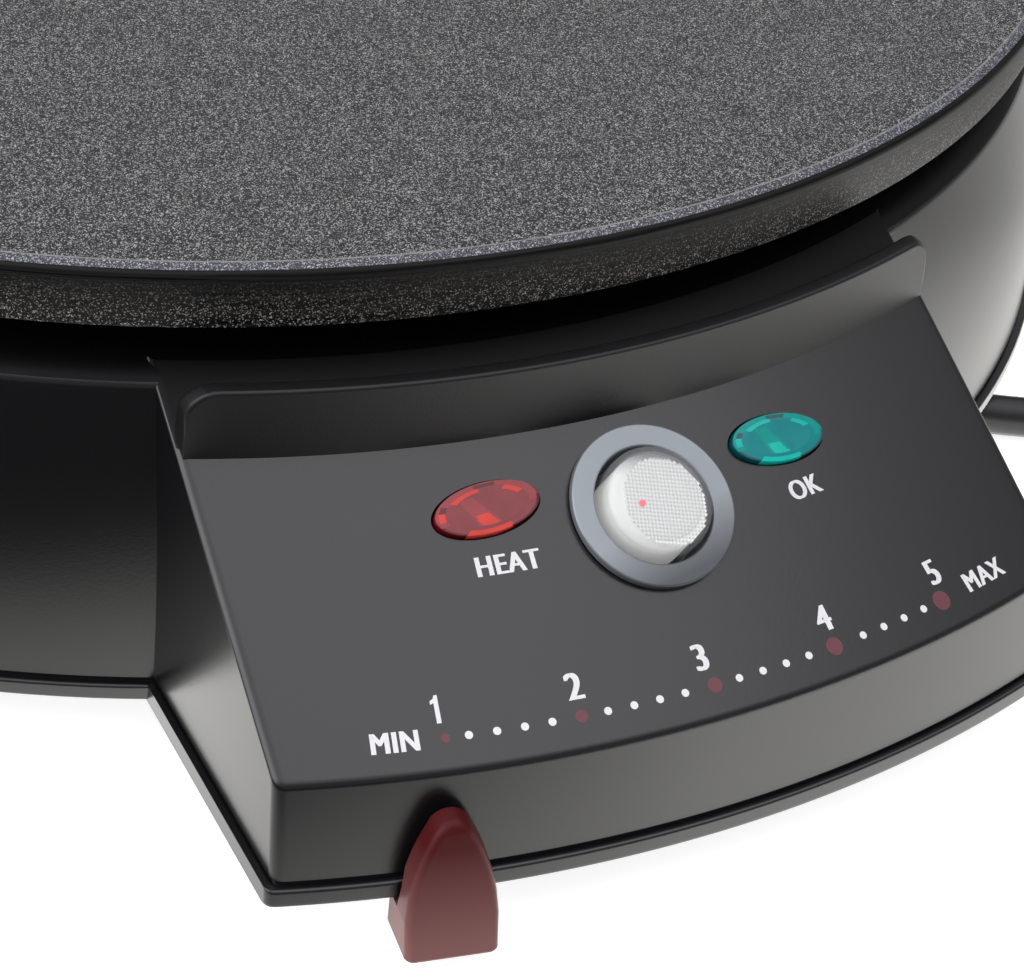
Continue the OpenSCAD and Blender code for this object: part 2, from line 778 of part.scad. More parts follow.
module bottom_cover() {
    slot_margin = (slider_foot_w / 2 + slot_side) / arm_leg_r * 180 / PI;
    color(black)
        difference() {
            union() {
                intersection() {
                    union() {
                        body_solid(wall + cover_gap);
                        housing_solid(wall + cover_gap);
                    }
                    slab(cover_z, cover_top);
                }
                at_outlet()
                    translate([-outlet_len, -outlet_half_w, outlet_z])
                        cube([outlet_len, 2 * outlet_half_w, cover_z - outlet_z + eps]);
            }
            at_outlet() {
                translate([-outlet_len + 2, 2 - outlet_half_w, outlet_z + outlet_wall - 0.8])
                    cube([outlet_len - 2 - outlet_wall, 2 * outlet_half_w - 4, cover_top]);
                translate([-outlet_wall - eps, 0, lead_z])
                    rotate([0, 90, 0])
                        cylinder(r = relief_r - 0.7 + fit, h = outlet_wall + 2 * eps);
            }
            rotate([0, 0, -90 + dial_start - slot_margin])
                rotate_extrude(angle = dial_sweep + 2 * slot_margin, $fn = round_fn)
                    translate([arm_leg_r - arm_t - 1.2, cover_z - eps])
                        square([arm_t + 2.4, cover_t + 2 * eps]);
            around(post_angles, post_pcd_r)
                translate([0, 0, cover_z - eps])
                    cylinder(r = cover_screw_r + 0.3, h = cover_t + 2 * eps);
            around(foot_angles, foot_pcd_r)
                translate([0, 0, cover_z - eps])
                    cylinder(r = 3 + fit, h = cover_t + 2 * eps);
            for (a = [30 : 60 : 330])
                for (r = [60, 70, 80])
                    rotate([0, 0, a + 90])
                        translate([r, -10, cover_z - eps])
                            cube([3, 20, cover_t + 2 * eps]);
        }
}

module cover_screws() {
    color(steel)
        around(post_angles, post_pcd_r)
            translate([0, 0, cover_z])
                screw(cover_screw_r, cover_screw_len + cover_t, 3.4, screw_head_h);
}

module rubber_feet() {
    color("#222222")
        around(foot_angles, foot_pcd_r) {
            cylinder(r1 = foot_r - 1, r2 = foot_r, h = cover_z);
            translate([0, 0, cover_z - eps])
                cylinder(r = 3, h = cover_t + 1);
            translate([0, 0, cover_top + fit])
                cylinder(r = 4.2, h = 2);
        }
}

// ---- indicators ----------------------------------------------------------

module bezel_ring() {
    color("#8b949c")
        on_panel(0, ring_r)
            rotate_extrude()
                polygon([[bezel_hole_r, -neck_len], [neck_r, -neck_len], [neck_r, 0], [bezel_r, 0],
                    [bezel_r, bezel_h - 0.3], [bezel_r - 0.3, bezel_h], [bezel_hole_r + 0.3, bezel_h],
                    [bezel_hole_r, bezel_h - 0.3]]);
}

module bezel_nut() {
    color(steel)
        on_panel(0, ring_r)
            translate([0, 0, -seat - 2])
                difference() {
                    cylinder(r = neck_r + 2.4, h = 2);
                    translate([0, 0, -eps])
                        cylinder(r = neck_r + fit, h = 2 + 2 * eps);
                }
}

module indicator_lens() {
    flange_z = -neck_len - fit;
    color("#e8e8e4", 0.6)
        on_panel(0, ring_r)
            rotate_extrude()
                polygon([[0, lens_h], [lens_r - 0.5, lens_h], [lens_r, lens_h - 0.5], [lens_r, flange_z],
                    [neck_r, flange_z], [neck_r, flange_z - 1.5], [lens_r, flange_z - 1.5],
                    [lens_r, -lens_foot], [lens_r - lens_wall, -lens_foot],
                    [lens_r - lens_wall, lens_h - lens_wall], [0, lens_h - lens_wall]]);
}

module lens_diffuser() {
    color("#f4f4f2")
        on_panel(0, ring_r)
            translate([0, 0, lens_h - lens_wall - fit - 1.4])
                cylinder(r = lens_r - lens_wall - fit, h = 1.4);
}

module led_board() {
    color("#2f6b3a")
        on_panel(0, ring_r)
            translate([0, 0, -lens_foot - fit - board_t])
                cylinder(r = lens_r + 0.8, h = board_t);
}

module indicator_led() {
    top = lens_h - lens_wall - fit - 1.4 - fit - led_r;
    color("#d02020")
        on_panel(0, ring_r)
            translate([led_x, 0, 0]) {
                translate([0, 0, -lens_foot - fit])
                    cylinder(r = led_r, h = top + lens_foot + fit);
                translate([0, 0, top])
                    sphere(r = led_r, $fn = 32);
            }
}

// Lens of one oval lamp: a thin-walled cup with a flange behind the panel.
module lamp_lens(angle) {
    back = -seat - flange_t;
    on_panel(angle, lamp_r)
        rotate([0, 0, -angle])
            difference() {
                union() {
                    translate([0, 0, back])
                        linear_extrude(height = lamp_proud - back)
                            oval(lamp_a, lamp_b);
                    translate([0, 0, back])
                        linear_extrude(height = flange_t)
                            oval(lamp_a + flange_out, lamp_b + flange_out);
                }
                translate([0, 0, back - eps])
                    linear_extrude(height = lamp_proud - back - 1.2)
                        oval(lamp_a - 1.2, lamp_b - 1.2);
            }
}

module red_lens() {
    color("#c84646", 0.7)
        lamp_lens(-lamp_angle);
}

module green_lens() {
    color("#00a096", 0.7)
        lamp_lens(lamp_angle);
}

module lamp_holders() {
    color("#e6e2d6")
        for (a = [-lamp_angle, lamp_angle])
            on_panel(a, lamp_r)
                rotate([0, 0, -a])
                    translate([0, 0, -holder_foot])
                        difference() {
                            linear_extrude(height = holder_len)
                                oval(lamp_a + flange_out, lamp_b + flange_out);
                            translate([0, 0, 1])
                                linear_extrude(height = holder_len)
                                    oval(lamp_a + 0.4, lamp_b + 0.4);
                        }
}

module neon_lamps() {
    color("#f0e8e0", 0.6)
        for (a = [-lamp_angle, lamp_angle])
            on_panel(a, lamp_r)
                translate([0, 0, 1 - holder_foot]) {
                    cylinder(r = 2.4, h = 9);
                    translate([0, 0, 9])
                        sphere(r = 2.4, $fn = 32);
                }
}

// ---- wiring --------------------------------------------------------------

block_at = [78, -72];
block_size = [28, 16, 12];
block_z = cover_top + 6;            // height of the wires at the block
block_x0 = block_at[0] - block_size[0] / 2;
block_y0 = block_at[1] - block_size[1] / 2;
block_y1 = block_at[1] + block_size[1] / 2;
wire_r = 1.1;
core_pitch = 2.6;                   // distance between the cores inside the outlet box
pin_z = rib_z - element_drop - pin_drop;
tab_z = stat_z + 3.4;
tab_y = stat_d / 2 + 8 + wire_r + fit;

module terminal_block() {
    color("#e6e2d6")
        translate([block_x0, block_y0, cover_top])
            difference() {
                cube(block_size);
                for (x = [5, 14, 23])
                    translate([x, block_size[1] / 2, block_size[2] - 5])
                        cylinder(r = 2.5, h = 6);
            }
}

// A point behind the panel: angle from the middle, radius, depth along its normal.
function panel_point(a, r, depth) = let (y = -r + depth * sin(panel_slope))
    [-y * sin(a), y * cos(a), panel_z(r) - depth * panel_cos];

// A point at the outlet box: distance along the lead, across it, and height.
function outlet_point(x, y, z) = [outlet[0] + x * cos(lead_dir) - y * sin(lead_dir),
    outlet[1] + x * sin(lead_dir) + y * cos(lead_dir), z];

// One core from the cord up through the outlet box to the terminal block.
module core(k) {
    rise = -12 - 3.4 * k;
    wire([outlet_point(-4.2, k * core_pitch, lead_z), outlet_point(rise, k * core_pitch, lead_z),
        outlet_point(rise, k * core_pitch, block_z), [block_x0 - stub, block_at[1] + 4 * k, block_z],
        [block_x0 - fit, block_at[1] + 4 * k, block_z]], wire_r);
}

// The last points of a wire at the block: port p, on its rear or its front face.
stub = 7;
function port_x(p) = block_at[0] + 8 * p;
function rear_port(p) = [[port_x(p), block_y1 + fit, block_z], [port_x(p), block_y1 + stub, block_z]];
function front_port(p) = [[port_x(p), block_y0 - stub, block_z], [port_x(p), block_y0 - fit, block_z]];

// The first points of a wire that leaves a place behind the panel squarely.
function panel_exit(a, r, depth) = [panel_point(a, r, depth), panel_point(a, r, depth + stub)];

// Up to a terminal pin of the element.
function to_pin(angle) = let (x = element_ring_r * cos(angle), y = element_ring_r * sin(angle))
    [[x, y, pin_z - 8], [x, y, pin_z - fit]];

module wires_live() {
    fuse_x = 13.3;
    color("#202020") {
        core(-1);
        wire(concat(rear_port(0), [[port_x(0), block_y1 + 14, 34], [9, tab_y, 38], [9, tab_y, tab_z + 1]]),
            wire_r);
        wire([[-9, tab_y, tab_z + 1], [-9, tab_y, stat_z - 5], [-fuse_x, fuse_y, stat_z - 5],
            [-fuse_x, fuse_y, fuse_z]], wire_r);
        wire(concat([[fuse_x, fuse_y, fuse_z], [fuse_x, fuse_y, pin_z - 1]], to_pin(element_ends[1])), wire_r);
        wire(concat(panel_exit(-lamp_angle, lamp_r, holder_foot + fit),
            [[block_at[0] - 18, 20 - front_r_bottom / 1.6, 28]], front_port(-1)), wire_r);
    }
}

module wires_neutral() {
    color("#e8e8e8") {
        core(0);
        wire(concat(rear_port(-1), [[port_x(-1), block_y1 + 14, 30]], to_pin(element_ends[0])), wire_r);
        wire(concat(panel_exit(lamp_angle, lamp_r, holder_foot + fit),
            [[block_at[0] - 10, 14 - front_r_bottom / 1.6, 24]], front_port(0)), wire_r);
        wire(concat(panel_exit(0, ring_r, lens_foot + board_t + 2 * fit),
            [[block_at[0] - 4, 10 - front_r_bottom / 1.6, 36]], front_port(1)), wire_r);
    }
}

module wires_earth() {
    top = [port_x(1) + 12, block_y1 + 24];
    color("#3a8a3a") {
        core(1);
        wire(concat(rear_port(1), [[top[0], top[1], deck_top - 16], [top[0], top[1], deck_top - fit]]), wire_r);
    }
}

// ---- cord ----------------------------------------------------------------

module at_outlet() {
    translate([outlet[0], outlet[1], 0])
        rotate([0, 0, lead_dir])
            children();
}

module strain_relief() {
    color(black)
        at_outlet()
            translate([0, 0, lead_z])
                rotate([0, 90, 0]) {
                    cylinder(r1 = relief_r, r2 = cord_r + 0.7, h = relief_len);
                    translate([0, 0, -outlet_wall - fit])
                        cylinder(r = relief_r - 0.7, h = outlet_wall + fit + eps);
                    translate([0, 0, -outlet_wall - fit - 1.5])
                        cylinder(r = relief_r, h = 1.5 + eps);
                }
}

module power_cord() {
    color(black)
        swept_cord(lead_pts, cord_r);
}

module cord_coil() {
    half = coil_pitch / 2 + cord_r;
    color(black)
        translate([coil_centre[0], coil_centre[1], 0])
            rotate_extrude()
                translate([coil_r - half, 0])
                    square([2 * half, coil_pitch + cord_d]);
}

module cord_tail() {
    color(black)
        swept_cord(tail_pts, cord_r);
}

module at_plug() {
    translate(tail_pts[len(tail_pts) - 1])
        children();
}

module power_plug() {
    color(black)
        at_plug()
            rotate([-90, 0, 0]) {
                cylinder(r1 = cord_r + 0.7, r2 = 6, h = plug_relief_len + eps);
                translate([0, 0, plug_relief_len])
                    intersection() {
                        translate([-plug_w / 2, -plug_h / 2, 0])
                            cube([plug_w, plug_h, plug_len]);
                        cylinder(r1 = 10, r2 = 10 + plug_len, h = plug_len);
                    }
            }
}

module plug_pins() {
    color(steel)
        at_plug()
            translate([0, plug_relief_len + plug_len, 0]) {
                for (x = [-6.35, 6.35])
                    translate([x - 0.75, 0, -0.8])
                        cube([1.5, 16, 6.4]);
                translate([0, 0, -5])
                    rotate([-90, 0, 0])
                        cylinder(r = 2.4, h = 18);
            }
}

in_place() cooking_plate();
in_place() heating_element();
in_place() element_clamps();
in_place() clamp_screws();
in_place() heat_shield();
in_place() plate_spacers();
in_place() plate_screws();
in_place() thermostat();
in_place() thermostat_bracket();
in_place() bracket_screws();
in_place() thermal_fuse();
in_place() base_shell();
in_place() panel_guard();
in_place() bottom_cover();
in_place() cover_screws();
in_place() rubber_feet();
in_place() bezel_ring();
in_place() bezel_nut();
in_place() indicator_lens();
in_place() lens_diffuser();
in_place() led_board();
in_place() indicator_led();
in_place() red_lens();
in_place() green_lens();
in_place() lamp_holders();
in_place() neon_lamps();
in_place() terminal_block();
in_place() wires_live();
in_place() wires_neutral();
in_place() wires_earth();
in_place() heat_shaft();
in_place() slider_arm();
in_place() hub_screw();
in_place() slider_knob();
in_place() strain_relief();
in_place() power_cord();
in_place() cord_coil();
in_place() cord_tail();
in_place() power_plug();
in_place() plug_pins();
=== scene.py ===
"""Electric crepe maker: the visible pieces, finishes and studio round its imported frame.

Sizes in the mesh code are millimetres; every finished mesh is brought to metres by one scale.
"""

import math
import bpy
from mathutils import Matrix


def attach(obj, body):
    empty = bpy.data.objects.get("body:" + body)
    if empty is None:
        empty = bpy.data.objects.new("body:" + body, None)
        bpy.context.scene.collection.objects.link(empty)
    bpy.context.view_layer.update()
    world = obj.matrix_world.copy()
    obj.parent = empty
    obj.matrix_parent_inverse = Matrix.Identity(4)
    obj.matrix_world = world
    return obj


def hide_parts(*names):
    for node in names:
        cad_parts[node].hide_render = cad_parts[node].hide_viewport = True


bl_info = {
    "name": "Crepe maker",
    "version": (1, 0, 0),
    "blender": (4, 5, 0),
    "location": "3D View > Sidebar > Crepe maker",
    "description": "Builds an electric crepe maker and its studio piece by piece",
    "category": "Add Mesh",
}

import bmesh
import bpy
from mathutils import Matrix, Vector

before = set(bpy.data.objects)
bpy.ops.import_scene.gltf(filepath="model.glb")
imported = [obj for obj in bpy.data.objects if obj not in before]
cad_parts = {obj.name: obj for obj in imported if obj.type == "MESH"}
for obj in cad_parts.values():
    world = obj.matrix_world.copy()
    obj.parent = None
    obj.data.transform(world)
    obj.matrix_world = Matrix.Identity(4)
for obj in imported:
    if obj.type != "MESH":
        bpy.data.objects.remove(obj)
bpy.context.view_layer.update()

MM = 0.001
BODY, SLIDER = "griddle", "heat_slider"

# ---- sizes that follow from the CAD part, in millimetres ------------------

AXIS_Y = 22.291  # how far the plate's axis stands behind the origin
BASE_Z = 9.0  # the shell's lower edge
DECK_Z = 58.0
WALL = 2.6
BEAD_H = 2.6  # the bead round the foot of the shell
BEAD_OUT = 1.1
GROOVE_H = 0.6  # the fine groove above that bead
BODY_BOTTOM_R = 160.2
BODY_TOP_R = 152.7
BODY_BULGE = 1.1
SHOULDER = (6.0, 3.0)  # width and height of the base's rounded shoulder
DECK_HOLE_R = 112.0  # the opening under the plate
SLOPE = math.radians(32.7)  # how steeply the control panel falls
GUARD_FOOT_Z = 50.4  # where the panel meets the guard's front
GUARD_LOW_Z = 48.0  # how deep the guard's foot is set into the housing
GUARD_HALF = 58.8
GUARD_THICK = 2.7
GUARD_ROUND = 4.6
HOUSING_BACK = 90.0  # how far from the plate's axis the housing starts, inside the round base
SIDE_REF_Y = -150.0  # the depth at which the housing's half width is taken
SIDE_SPREAD = math.radians(2.15)
SIDE_DRAFT = math.radians(2.7)
FRONT_DRAFT = 2.9
RING_R = 173.4  # the round indicator's place on the panel
RING_HOLE_R = 10.7
LAMP_R = 169.9
LAMP_ANGLE = 7.74
LAMP_HALF = (7.65, 3.6)
LAMP_GAP = 0.3
DIAL_START = -11.8  # the knob's angle at rest, below the dot at 1
KNOB_Z = (2.8, 22.4)
KNOB_SPRING_Z = 7.5  # where the knob's pointed arch starts
KNOB_LEAN = 4.3
KNOB_DEPTH = 8.4
SLIDE_GAP = 0.6
PLATE_TAPER = 1.2  # how much narrower the plate's side is at its foot
ELEMENT_R = 95.0  # the element's groove under the plate
ELEMENT_GROOVE_R = 3.6
ELEMENT_RIB = (86.0, 110.0)
BOSS_R, BOSS_AT, BOSS_H = 6.0, 122.0, 5.0
ROUND_STEPS = 240
SAME_POINT = 1e-4  # vertices closer than this are one


def linear(value):
    """An sRGB hex colour as linear RGBA."""
    parts = [int(value[i:i + 2], 16) / 255 for i in (1, 3, 5)]
    return tuple(p / 12.92 if p <= 0.04045 else ((p + 0.055) / 1.055) ** 2.4 for p in parts) + (1.0,)


def length_prop(name, description, default):
    """A property that holds a length in metres."""
    return bpy.props.FloatProperty(name=name, description=description, default=default, unit="LENGTH",
                                   subtype="DISTANCE")


def colour_prop(name, description, default):
    """A property that holds a finish's colour, its default written as sRGB hex."""
    return bpy.props.FloatVectorProperty(name=name, description=description, default=linear(default)[:3],
                                         size=3, subtype="COLOR")


class CrepeSizes(bpy.types.PropertyGroup):
    """Sizes of the crepe maker that a user may want to change"""

    plate_radius: length_prop("Plate radius", "Radius of the plate at its top edge", 0.1548)
    surface_radius: length_prop("Surface radius", "Radius of the line round the cooking surface", 0.1524)
    plate_top: length_prop("Plate height", "Height of the cooking surface above the table", 0.075)
    plate_height: length_prop("Plate side height", "Height of the plate's side wall", 0.0095)
    guard_radius: length_prop("Guard radius", "Radius of the guard's front face", 0.1615)
    guard_top: length_prop("Guard height", "Height of the guard's top edge", 0.0608)
    panel_length: length_prop("Panel length", "Length of the control panel, seen from above", 0.0375)
    housing_half_width: length_prop("Housing half width", "Half its width at its upper corners", 0.0594)
    bezel_radius: length_prop("Bezel radius", "Outer radius of the bezel ring", 0.0119)
    bezel_opening: length_prop("Bezel opening", "Radius of the bezel's opening", 0.0086)
    lens_height: length_prop("Lens height", "How far the round lens stands above the panel", 0.0046)
    knob_width: length_prop("Knob width", "Width of the slider's knob", 0.0127)
    cord_diameter: length_prop("Cord diameter", "Diameter of the cord", 0.0068)


class CrepeColours(bpy.types.PropertyGroup):
    """Colours of the crepe maker's finishes"""

    coating: colour_prop("Coating", "Ground colour of the non-stick coating", "#121214")
    fleck: colour_prop("Flecks", "Colour of the mineral flecks in the coating", "#bcbcba")
    housing: colour_prop("Housing", "Colour of the moulded base", "#0e0e10")
    knob: colour_prop("Knob", "Colour of the slider's knob", "#4c1416")
    bezel: colour_prop("Bezel", "Colour of the bezel ring", "#878c91")
    print_white: colour_prop("Print", "Colour of the printed scale", "#e9e9ea")
    cord: colour_prop("Cord", "Colour of the cord and its plug", "#17171a")


def size(name):
    """One of the user's sizes, in millimetres."""
    return getattr(bpy.context.scene.crepe_sizes, name) / MM


def tint(name):
    """One of the user's colours, as RGBA."""
    return tuple(getattr(bpy.context.scene.crepe_colours, name)) + (1.0,)


# ---- nodes and materials ---------------------------------------------------

def add(tree, kind, operation=None, to=None, **inputs):
    """Adds a shader node, its first output linked to the socket to where one is given.

    inputs are values or sockets. A name's underscores stand for spaces, and _0 is the first input.
    """
    node = tree.nodes.new("ShaderNode" + kind)
    if operation:
        node.operation = operation
    if to:
        tree.links.new(node.outputs[0], to)
    for name, value in inputs.items():
        key = int(name[1:]) if name[1:].isdigit() else name.replace("_", " ")
        if isinstance(value, bpy.types.NodeSocket):
            tree.links.new(value, node.inputs[key])
        else:
            node.inputs[key].default_value = value
    return node


def emptied(owner):
    """The node tree of a material or world, without its nodes."""
    owner.use_nodes = True
    owner.node_tree.nodes.clear()
    return owner.node_tree


def started(name, **shader_inputs):
    """A new material with one Principled shader: (material, tree, shader, object coordinates)."""
    material = bpy.data.materials.new(name)
    tree = emptied(material)
    shader = add(tree, "BsdfPrincipled", **shader_inputs)
    add(tree, "OutputMaterial", Surface=shader.outputs["BSDF"])
    place = add(tree, "TexCoord").outputs["Object"]
    return material, tree, shader, place


def grain(tree, shader, place, spacing, height):
    """Gives a surface a fine grain, sizes in millimetres, and returns its pattern.

    A real mould's grain is finer than this. It is drawn as coarse as it needs to be to show.
    """
    noise = add(tree, "TexNoise", Vector=place, Scale=1 / (spacing * MM), Detail=2.0).outputs["Fac"]
    add(tree, "Bump", to=shader.inputs["Normal"], Height=noise, Strength=1.0, Distance=height * MM)
    return noise


def shade(colour, factor):
    """A colour made darker or lighter."""
    return tuple(min(c * factor, 1) for c in colour[:3]) + (1.0,)


def across(tree, place, matrix, direction, low, high):
    """0 to 1 between two distances in millimetres along a direction of a placed piece."""
    line = (matrix.to_3x3() @ Vector(direction)).normalized()
    middle = line.dot((matrix.translation + Vector((0, AXIS_Y, 0))) * MM)
    reach = add(tree, "VectorMath", "DOT_PRODUCT", _0=place, _1=line)
    return add(tree, "MapRange", Value=reach.outputs["Value"], From_Min=middle + low * MM,
               From_Max=middle + high * MM).outputs["Result"]


def flecks(tree, place, *layers):
    """Brightness of fine mineral flecks: layers of (cell size in mm, share of cells)."""
    total = None
    for spacing, share in layers:
        cells = add(tree, "TexVoronoi", Vector=place, Scale=1 / (spacing * MM))
        parts = add(tree, "SeparateColor", Color=cells.outputs["Color"])
        picked = add(tree, "Math", "GREATER_THAN", _0=parts.outputs["Red"], _1=1 - share)
        bright = add(tree, "Math", "POWER", _0=parts.outputs["Green"], _1=1.3)
        layer = add(tree, "Math", "MULTIPLY", _0=picked.outputs[0], _1=bright.outputs[0])
        total = layer.outputs[0] if total is None else add(
            tree, "Math", "MAXIMUM", _0=total, _1=layer.outputs[0]).outputs[0]
    return total


def coating_material(name, share, ground, cloud, fleck, roughness, sheen):
    """Sprayed non-stick coating with mineral flecks: dark satin ground, dense fine pale glitter."""
    material, tree, shader, place = started(name, IOR=1.5, Roughness=roughness, Specular_IOR_Level=sheen)
    glitter = flecks(tree, place, (0.15, share), (0.21, 0.1))
    drift = add(tree, "TexNoise", Vector=place, Scale=1 / (9 * MM), Detail=2.0)
    dark = add(tree, "MixRGB", Fac=drift.outputs["Fac"], Color1=ground, Color2=cloud)
    add(tree, "MixRGB", to=shader.inputs["Base Color"], Fac=glitter, Color1=dark.outputs["Color"],
        Color2=fleck)
    add(tree, "Bump", to=shader.inputs["Normal"], Height=glitter, Strength=0.4, Distance=0.02 * MM)
    return material


def turned_side_material():
    """Turned aluminium under the same coating: fine rings round the edge, flecks towards its foot."""
    material, tree, shader, place = started("turned_coated_edge", IOR=1.5, Roughness=0.42,
                                            Specular_IOR_Level=0.15)
    height = add(tree, "SeparateXYZ", Vector=place).outputs["Z"]
    wander = add(tree, "TexNoise", Vector=place, Scale=1 / (25 * MM), Detail=1.0).outputs["Fac"]
    lines = add(tree, "CombineXYZ", X=height,
                Y=add(tree, "Math", "MULTIPLY", _0=wander, _1=0.0009).outputs[0])
    rings = add(tree, "TexNoise", Vector=lines.outputs["Vector"], Scale=1 / (0.34 * MM), Detail=3.0)
    top = size("plate_top") * MM
    low = add(tree, "MapRange", Value=height, From_Min=top - 1.5 * MM, From_Max=top - 9.5 * MM)
    glitter = add(tree, "Math", "MULTIPLY", _0=flecks(tree, place, (0.15, 0.16), (0.2, 0.05)),
                  _1=low.outputs["Result"])
    deep = add(tree, "MapRange", Value=rings.outputs["Fac"], From_Min=0.4, From_Max=0.7)
    ground = add(tree, "MixRGB", Fac=deep.outputs["Result"], Color1=linear("#030303"),
                 Color2=linear("#211f1e"))
    add(tree, "MixRGB", to=shader.inputs["Base Color"], Fac=glitter.outputs[0],
        Color1=ground.outputs["Color"], Color2=linear("#c2bcb2"))
    add(tree, "Bump", to=shader.inputs["Normal"], Height=rings.outputs["Fac"], Strength=0.7,
        Distance=0.08 * MM)
    return material


def highlight_line_material():
    """Fine metal-grey line where the rim's bevel starts, painted pale as a highlight on that edge."""
    material, tree, shader, place = started("dulled_aluminium_line", Metallic=0.3, Roughness=0.5)
    noise = add(tree, "TexNoise", Vector=place, Scale=1 / (2 * MM), Detail=2.0)
    mottle = add(tree, "MapRange", Value=noise.outputs["Fac"], From_Min=0.3, From_Max=0.7)
    add(tree, "MixRGB", to=shader.inputs["Base Color"], Fac=mottle.outputs["Result"],
        Color1=linear("#767471"), Color2=linear("#949290"))
    return material


def plain_material(name, colour, roughness=0.5, metallic=0.0, spacing=1.0, height=0.01, spread=0.12,
                   **more):
    """A plain finish with a little tone variation and a fine surface grain."""
    material, tree, shader, place = started(name, Roughness=roughness, Metallic=metallic, **more)
    noise = grain(tree, shader, place, spacing, height)
    add(tree, "MixRGB", to=shader.inputs["Base Color"], Fac=noise, Color1=shade(colour, 1 - spread),
        Color2=shade(colour, 1 + spread))
    return material


# ---- meshes ----------------------------------------------------------------

def panel_z(r):
    """Height of the control panel at a radius."""
    return GUARD_FOOT_Z - math.tan(SLOPE) * (r - size("guard_radius"))


def panel_matrix(angle, r, turned=0.0):
    """Places a piece on the control panel, its +Z out of the panel; angle in degrees from the middle."""
    return (Matrix.Rotation(math.radians(angle), 4, "Z") @ Matrix.Translation((0, -r, panel_z(r)))
            @ Matrix.Rotation(SLOPE, 4, "X") @ Matrix.Rotation(math.radians(turned), 4, "Z"))


def outline(bm, points, segments=4):
    """A filled outline of (radius, height, rounding) points in the XZ plane, with its corners rounded."""
    corners = [bm.verts.new((r, 0, z)) for r, z, _ in points]
    bm.faces.new(corners)
    for corner, (_, _, rounding) in zip(corners, points):
        if rounding:
            bmesh.ops.bevel(bm, geom=[corner], offset=rounding, offset_type="OFFSET", affect="VERTICES",
                            segments=segments, profile=0.5, material=-1)


def spun(points, steps=ROUND_STEPS):
    """A solid turned from an outline of (radius, height, rounding) points."""
    bm = bmesh.new()
    outline(bm, points)
    bmesh.ops.delete(bm, geom=bm.faces[:], context="FACES_ONLY")
    on_axis = [e for e in bm.edges if all(abs(v.co.x) < 1e-6 for v in e.verts)]
    bmesh.ops.delete(bm, geom=on_axis, context="EDGES")
    bmesh.ops.spin(bm, geom=bm.verts[:] + bm.edges[:], cent=(0, 0, 0), axis=(0, 0, 1), angle=math.tau,
                   steps=steps, use_merge=True, use_duplicate=False)
    bmesh.ops.remove_doubles(bm, verts=bm.verts, dist=SAME_POINT)
    bmesh.ops.recalc_face_normals(bm, faces=bm.faces)
    return bm


def lofted(sections):
    """A closed solid through rings of as many points each."""
    bm = bmesh.new()
    rings = [[bm.verts.new(point) for point in section] for section in sections]
    count = len(rings[0])
    for lower, upper in zip(rings, rings[1:]):
        for i in range(count):
            j = (i + 1) % count
            bm.faces.new((lower[i], lower[j], upper[j], upper[i]))
    bm.faces.new(rings[0][::-1])
    bm.faces.new(rings[-1])
    bmesh.ops.remove_doubles(bm, verts=bm.verts, dist=SAME_POINT)
    bmesh.ops.recalc_face_normals(bm, faces=bm.faces)
    return bm


def rounded_profile(points):
    """(radius, height) points along an outline, its corners rounded where a third number says so."""
    out = []
    for i, (r, z, rounding) in enumerate(points):
        if not rounding:
            out.append((r, z))
            continue
        corner = Vector((r, z))
        before = (Vector(points[i - 1][:2]) - corner).normalized()
        after = (Vector(points[i + 1][:2]) - corner).normalized()
        half = before.angle(after) / 2
        reach = rounding / math.tan(half)
        start, end = corner + before * reach, corner + after * reach
        for k in range(6):
            t = k / 5
            out.append(tuple(start * (1 - t) ** 2 + corner * 2 * t * (1 - t) + end * t * t))
    return out


def linked(name, data):
    """A new object in the scene."""
    piece = bpy.data.objects.new(name, data)
    bpy.context.scene.collection.objects.link(piece)
    return piece


def moved(bm, matrix):
    """Moves a whole mesh and gives it back."""
    bmesh.ops.transform(bm, matrix=matrix, verts=bm.verts)
    return bm


def mesh_of(name, bm):
    """The finished mesh data of a mesh in the making."""
    mesh = bpy.data.meshes.new(name)
    bm.to_mesh(mesh)
    bm.free()
    return mesh


def merged(*parts):
    """Several meshes as one."""
    whole = parts[0]
    for part in parts[1:]:
        mesh = mesh_of("part", part)
        whole.from_mesh(mesh)
        bpy.data.meshes.remove(mesh)
    return whole


def boolean(first, second, operation):
    """first with second united or cut away."""
    tools = [linked("tool", mesh_of("tool", bm)) for bm in (first, second)]
    cut = tools[0].modifiers.new("cut", "BOOLEAN")
    cut.object, cut.operation, cut.solver = tools[1], operation, "EXACT"
    bpy.context.view_layer.update()
    result = bmesh.new()
    result.from_object(tools[0], bpy.context.evaluated_depsgraph_get())
    for tool in tools:
        mesh = tool.data
        bpy.data.objects.remove(tool)
        bpy.data.meshes.remove(mesh)
    if not result.faces:
        raise RuntimeError(f"a {operation} left nothing")
    return result


def bevelled(bm, edges, width, segments):
    """Rounds those edges."""
    bmesh.ops.bevel(bm, geom=edges, offset=width, offset_type="OFFSET", affect="EDGES",
                    segments=segments, profile=0.5, material=-1, clamp_overlap=True, loop_slide=True)


def cylinder(radius, depth, segments, top=None):
    """A cylinder along Z round the origin, or a cone where its top has a radius of its own."""
    bm = bmesh.new()
    bmesh.ops.create_cone(bm, cap_ends=True, segments=segments, radius1=radius, radius2=top or radius,
                          depth=depth)
    return bm


